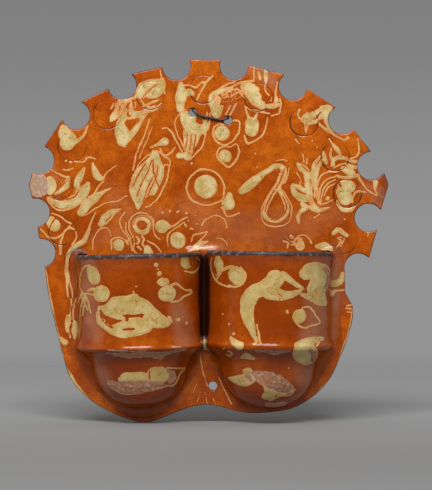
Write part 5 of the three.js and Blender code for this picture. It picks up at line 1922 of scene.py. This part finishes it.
surface = mixed(tree, stepped(tree, iron.outputs["Distance"], 0.03, 0.09, 0.7, 0), surface, DARK_POOL_AND_SHADE)
# pooled glaze and painted shade darken the slip as well
surface = mixed(tree, stepped(tree, pool_and_shade, 0.3, 1.0, 0, 0.8), surface, DARK_POOL_AND_SHADE)

# %% Bare and worn clay
grit = noise(tree, where, 620, 5)
bare_clay = mixed(tree, stepped(tree, grit, 0.35, 0.65, 0, 0.6), BARE_CLAY, BARE_DARK)
bare_clay = mixed(tree, stepped(tree, deep, 0.2, 0.6, 0, 0.8), bare_clay, BARE_DEEP)
bare_clay = mixed(tree, grain(tree, where, 22, 5, 0.42, 0.7, 0, 0.28), bare_clay, BARE_STAIN)
bare_clay = mixed(tree, grain(tree, where, 420, 4, 0.5, 0.66, 0, 0.55), bare_clay, BARE_PALE)
chip_edge = maths(tree, "ABSOLUTE", minus(tree, bare, 0.7))
bare_clay = mixed(tree, stepped(tree, chip_edge, 0.1, 0.3, 0.9, 0), bare_clay, BARE_PALE)
surface = mixed(tree, bare, surface, bare_clay)
rubbed = mixed(tree, grain(tree, where, 240, 4, 0.5, 0.68, 0, 0.8), WORN_RIM, WORN_PALE)
surface = mixed(tree, times(tree, worn, stepped(tree, grit, 0.1, 0.4)), surface, rubbed)
tree.links.new(surface, shader.inputs["Base Color"])

# %% Gloss and ripples of the glaze
matt = maths(tree, "MAXIMUM", bare, times(tree, worn, 0.5))
matt = maths(tree, "MAXIMUM", matt, times(tree, dull_and_sheen, 0.3))
gloss = grain(tree, where, 90, 4, 0.3, 0.8, 0.1, 0.22)
rough = plus(tree, gloss, times(tree, matt, 0.6))
tree.links.new(rough, shader.inputs["Roughness"])
shader.inputs["IOR"].default_value = 1.5
shader.inputs["Specular IOR Level"].default_value = 0.36

slow_ripples = times(tree, noise(tree, where, 45, 2), 0.5)
ripples = plus(tree, slow_ripples, times(tree, noise(tree, where, 380, 3), 0.05))
rough_clay = times(tree, times(tree, grit, bare), 0.6)
bump = add_node(tree, "ShaderNodeBump", inputs={
    "Strength": 0.6, "Distance": 0.0006, "Height": plus(tree, ripples, rough_clay),
})
tree.links.new(bump.outputs[0], shader.inputs["Normal"])

# %% The wire's coating
tree, shader, where = shader_tree(coating)
streaks = noise(tree, where, 500, 4)
tree.links.new(
    mixed(tree, stepped(tree, streaks, 0.4, 0.75), colour(20, 34, 30), colour(52, 66, 58)),
    shader.inputs["Base Color"],
)
tree.links.new(stepped(tree, streaks, 0.3, 0.8, 0.3, 0.55), shader.inputs["Roughness"])

for piece in (slab, valley):
    piece.data.materials.append(glaze)

# %% [markdown]
# ## Studio
#
# The holder stands on a grey floor under one wide soft box. The floor fades out before it ends, and beyond
# it the camera sees the plain grey of the world, so that the ground looks seamless from every side, as a
# paper sweep does from one. Shiny glaze shows whatever is around it, so for all other rays the world is
# built like the studio: dim in front, behind the camera, where the flat slab looks, and pale at the sides,
# which gives the round walls their soft grey edges.

# %% The floor
FLOOR_NEAR, FLOOR_FAR = colour(126, 126, 126), colour(168, 168, 168)
FLOOR_HALF = 2600.0
FOOT = cad_box[0].z / MM - 0.2
corners = [(x * FLOOR_HALF, y * FLOOR_HALF, FOOT) for x, y in ((-1, -1), (1, -1), (1, 1), (-1, 1))]
floor = new_piece("studio_floor", corners, [(0, 1, 2, 3)], {})
paper = bpy.data.materials.new("grey_paper")
tree, shader, where = shader_tree(paper)
along = add_node(tree, "ShaderNodeSeparateXYZ", inputs={0: where})
across = maths(tree, "ABSOLUTE", along.outputs["X"])
# painted light: the floor is painted lighter further back, which evens out the lamp's fall-off
grey = mixed(tree, stepped(tree, along.outputs["Y"], -0.42, 0.4), FLOOR_NEAR, FLOOR_FAR)
tree.links.new(grey, shader.inputs["Base Color"])
shader.inputs["Roughness"].default_value = 0.9
behind_fade = stepped(tree, along.outputs["Y"], 0.4, 1.2)
front_fade = stepped(tree, along.outputs["Y"], -0.6, -1.2)
fade = maths(tree, "MAXIMUM", behind_fade, front_fade)
fade = maths(tree, "MAXIMUM", fade, stepped(tree, across, 1.2, 2.4))
faded = add_node(tree, "ShaderNodeMixShader", inputs={
    0: fade,
    1: shader.outputs[0],
    2: tree.nodes.new("ShaderNodeBsdfTransparent").outputs[0],
})
tree.links.new(faded.outputs[0], tree.nodes["Material Output"].inputs[0])
floor.data.materials.append(paper)

# %% The soft box
BOX_PLACE, BOX_AIM = Vector((-200, -1500, 1300)), Vector((0, 0, -100))
BOX_WIDE, BOX_HIGH = 1600, 900
BOX_WATTS = 48
soft_box = bpy.data.lights.new("overhead", "AREA")
soft_box.shape = "RECTANGLE"
soft_box.size, soft_box.size_y = BOX_WIDE * MM, BOX_HIGH * MM
soft_box.energy = BOX_WATTS
lamp = bpy.data.objects.new("overhead", soft_box)
lamp.location = BOX_PLACE * MM
lamp.rotation_euler = (BOX_AIM - BOX_PLACE).to_track_quat("-Z", "Y").to_euler()
bpy.context.scene.collection.objects.link(lamp)
print("soft box of", BOX_WIDE, "x", BOX_HIGH, "mm")

# %% The room round the studio
ROOM_DIM, ROOM_PALE, ROOM_BEHIND = 0.07, 0.54, 0.24
SEEN_LOW, SEEN_HIGH = 0.292, 0.216
world = bpy.data.worlds.new("studio")
world.use_nodes = True
tree = world.node_tree
background = tree.nodes["Background"]
direction = add_node(tree, "ShaderNodeSeparateXYZ", inputs={
    0: tree.nodes.new("ShaderNodeTexCoord").outputs["Generated"],
})
room = stepped(tree, direction.outputs["Y"], -0.42, -0.18, ROOM_DIM, ROOM_PALE)
room = minus(tree, room, stepped(tree, direction.outputs["Y"], 0, 0.4, 0, ROOM_PALE - ROOM_BEHIND))
ground = stepped(tree, direction.outputs["Z"], 0, 0.115, SEEN_LOW, SEEN_HIGH)
seen = tree.nodes.new("ShaderNodeLightPath").outputs["Is Camera Ray"]
room = times(tree, room, minus(tree, 1, seen))
room = plus(tree, room, times(tree, seen, ground))
tree.links.new(room, background.inputs["Strength"])
background.inputs["Color"].default_value = (1, 1, 1, 1)
bpy.context.scene.world = world
bpy.context.scene.view_settings.view_transform = "Standard"

# %% Put each piece on its body, hide the node it stands for, and finish
STANDS_FOR = {
    slab: "back_plate",
    pots["left"]: "left_pocket",
    pots["right"]: "right_pocket",
    coils["left"]: "left_luting_coil",
    coils["right"]: "right_luting_coil",
    valley: "valley_luting_coil",
}
for piece, node in STANDS_FOR.items():
    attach(piece, "holder")
    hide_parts(node)
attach(wire, "hanger")
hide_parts("hanging_wire")
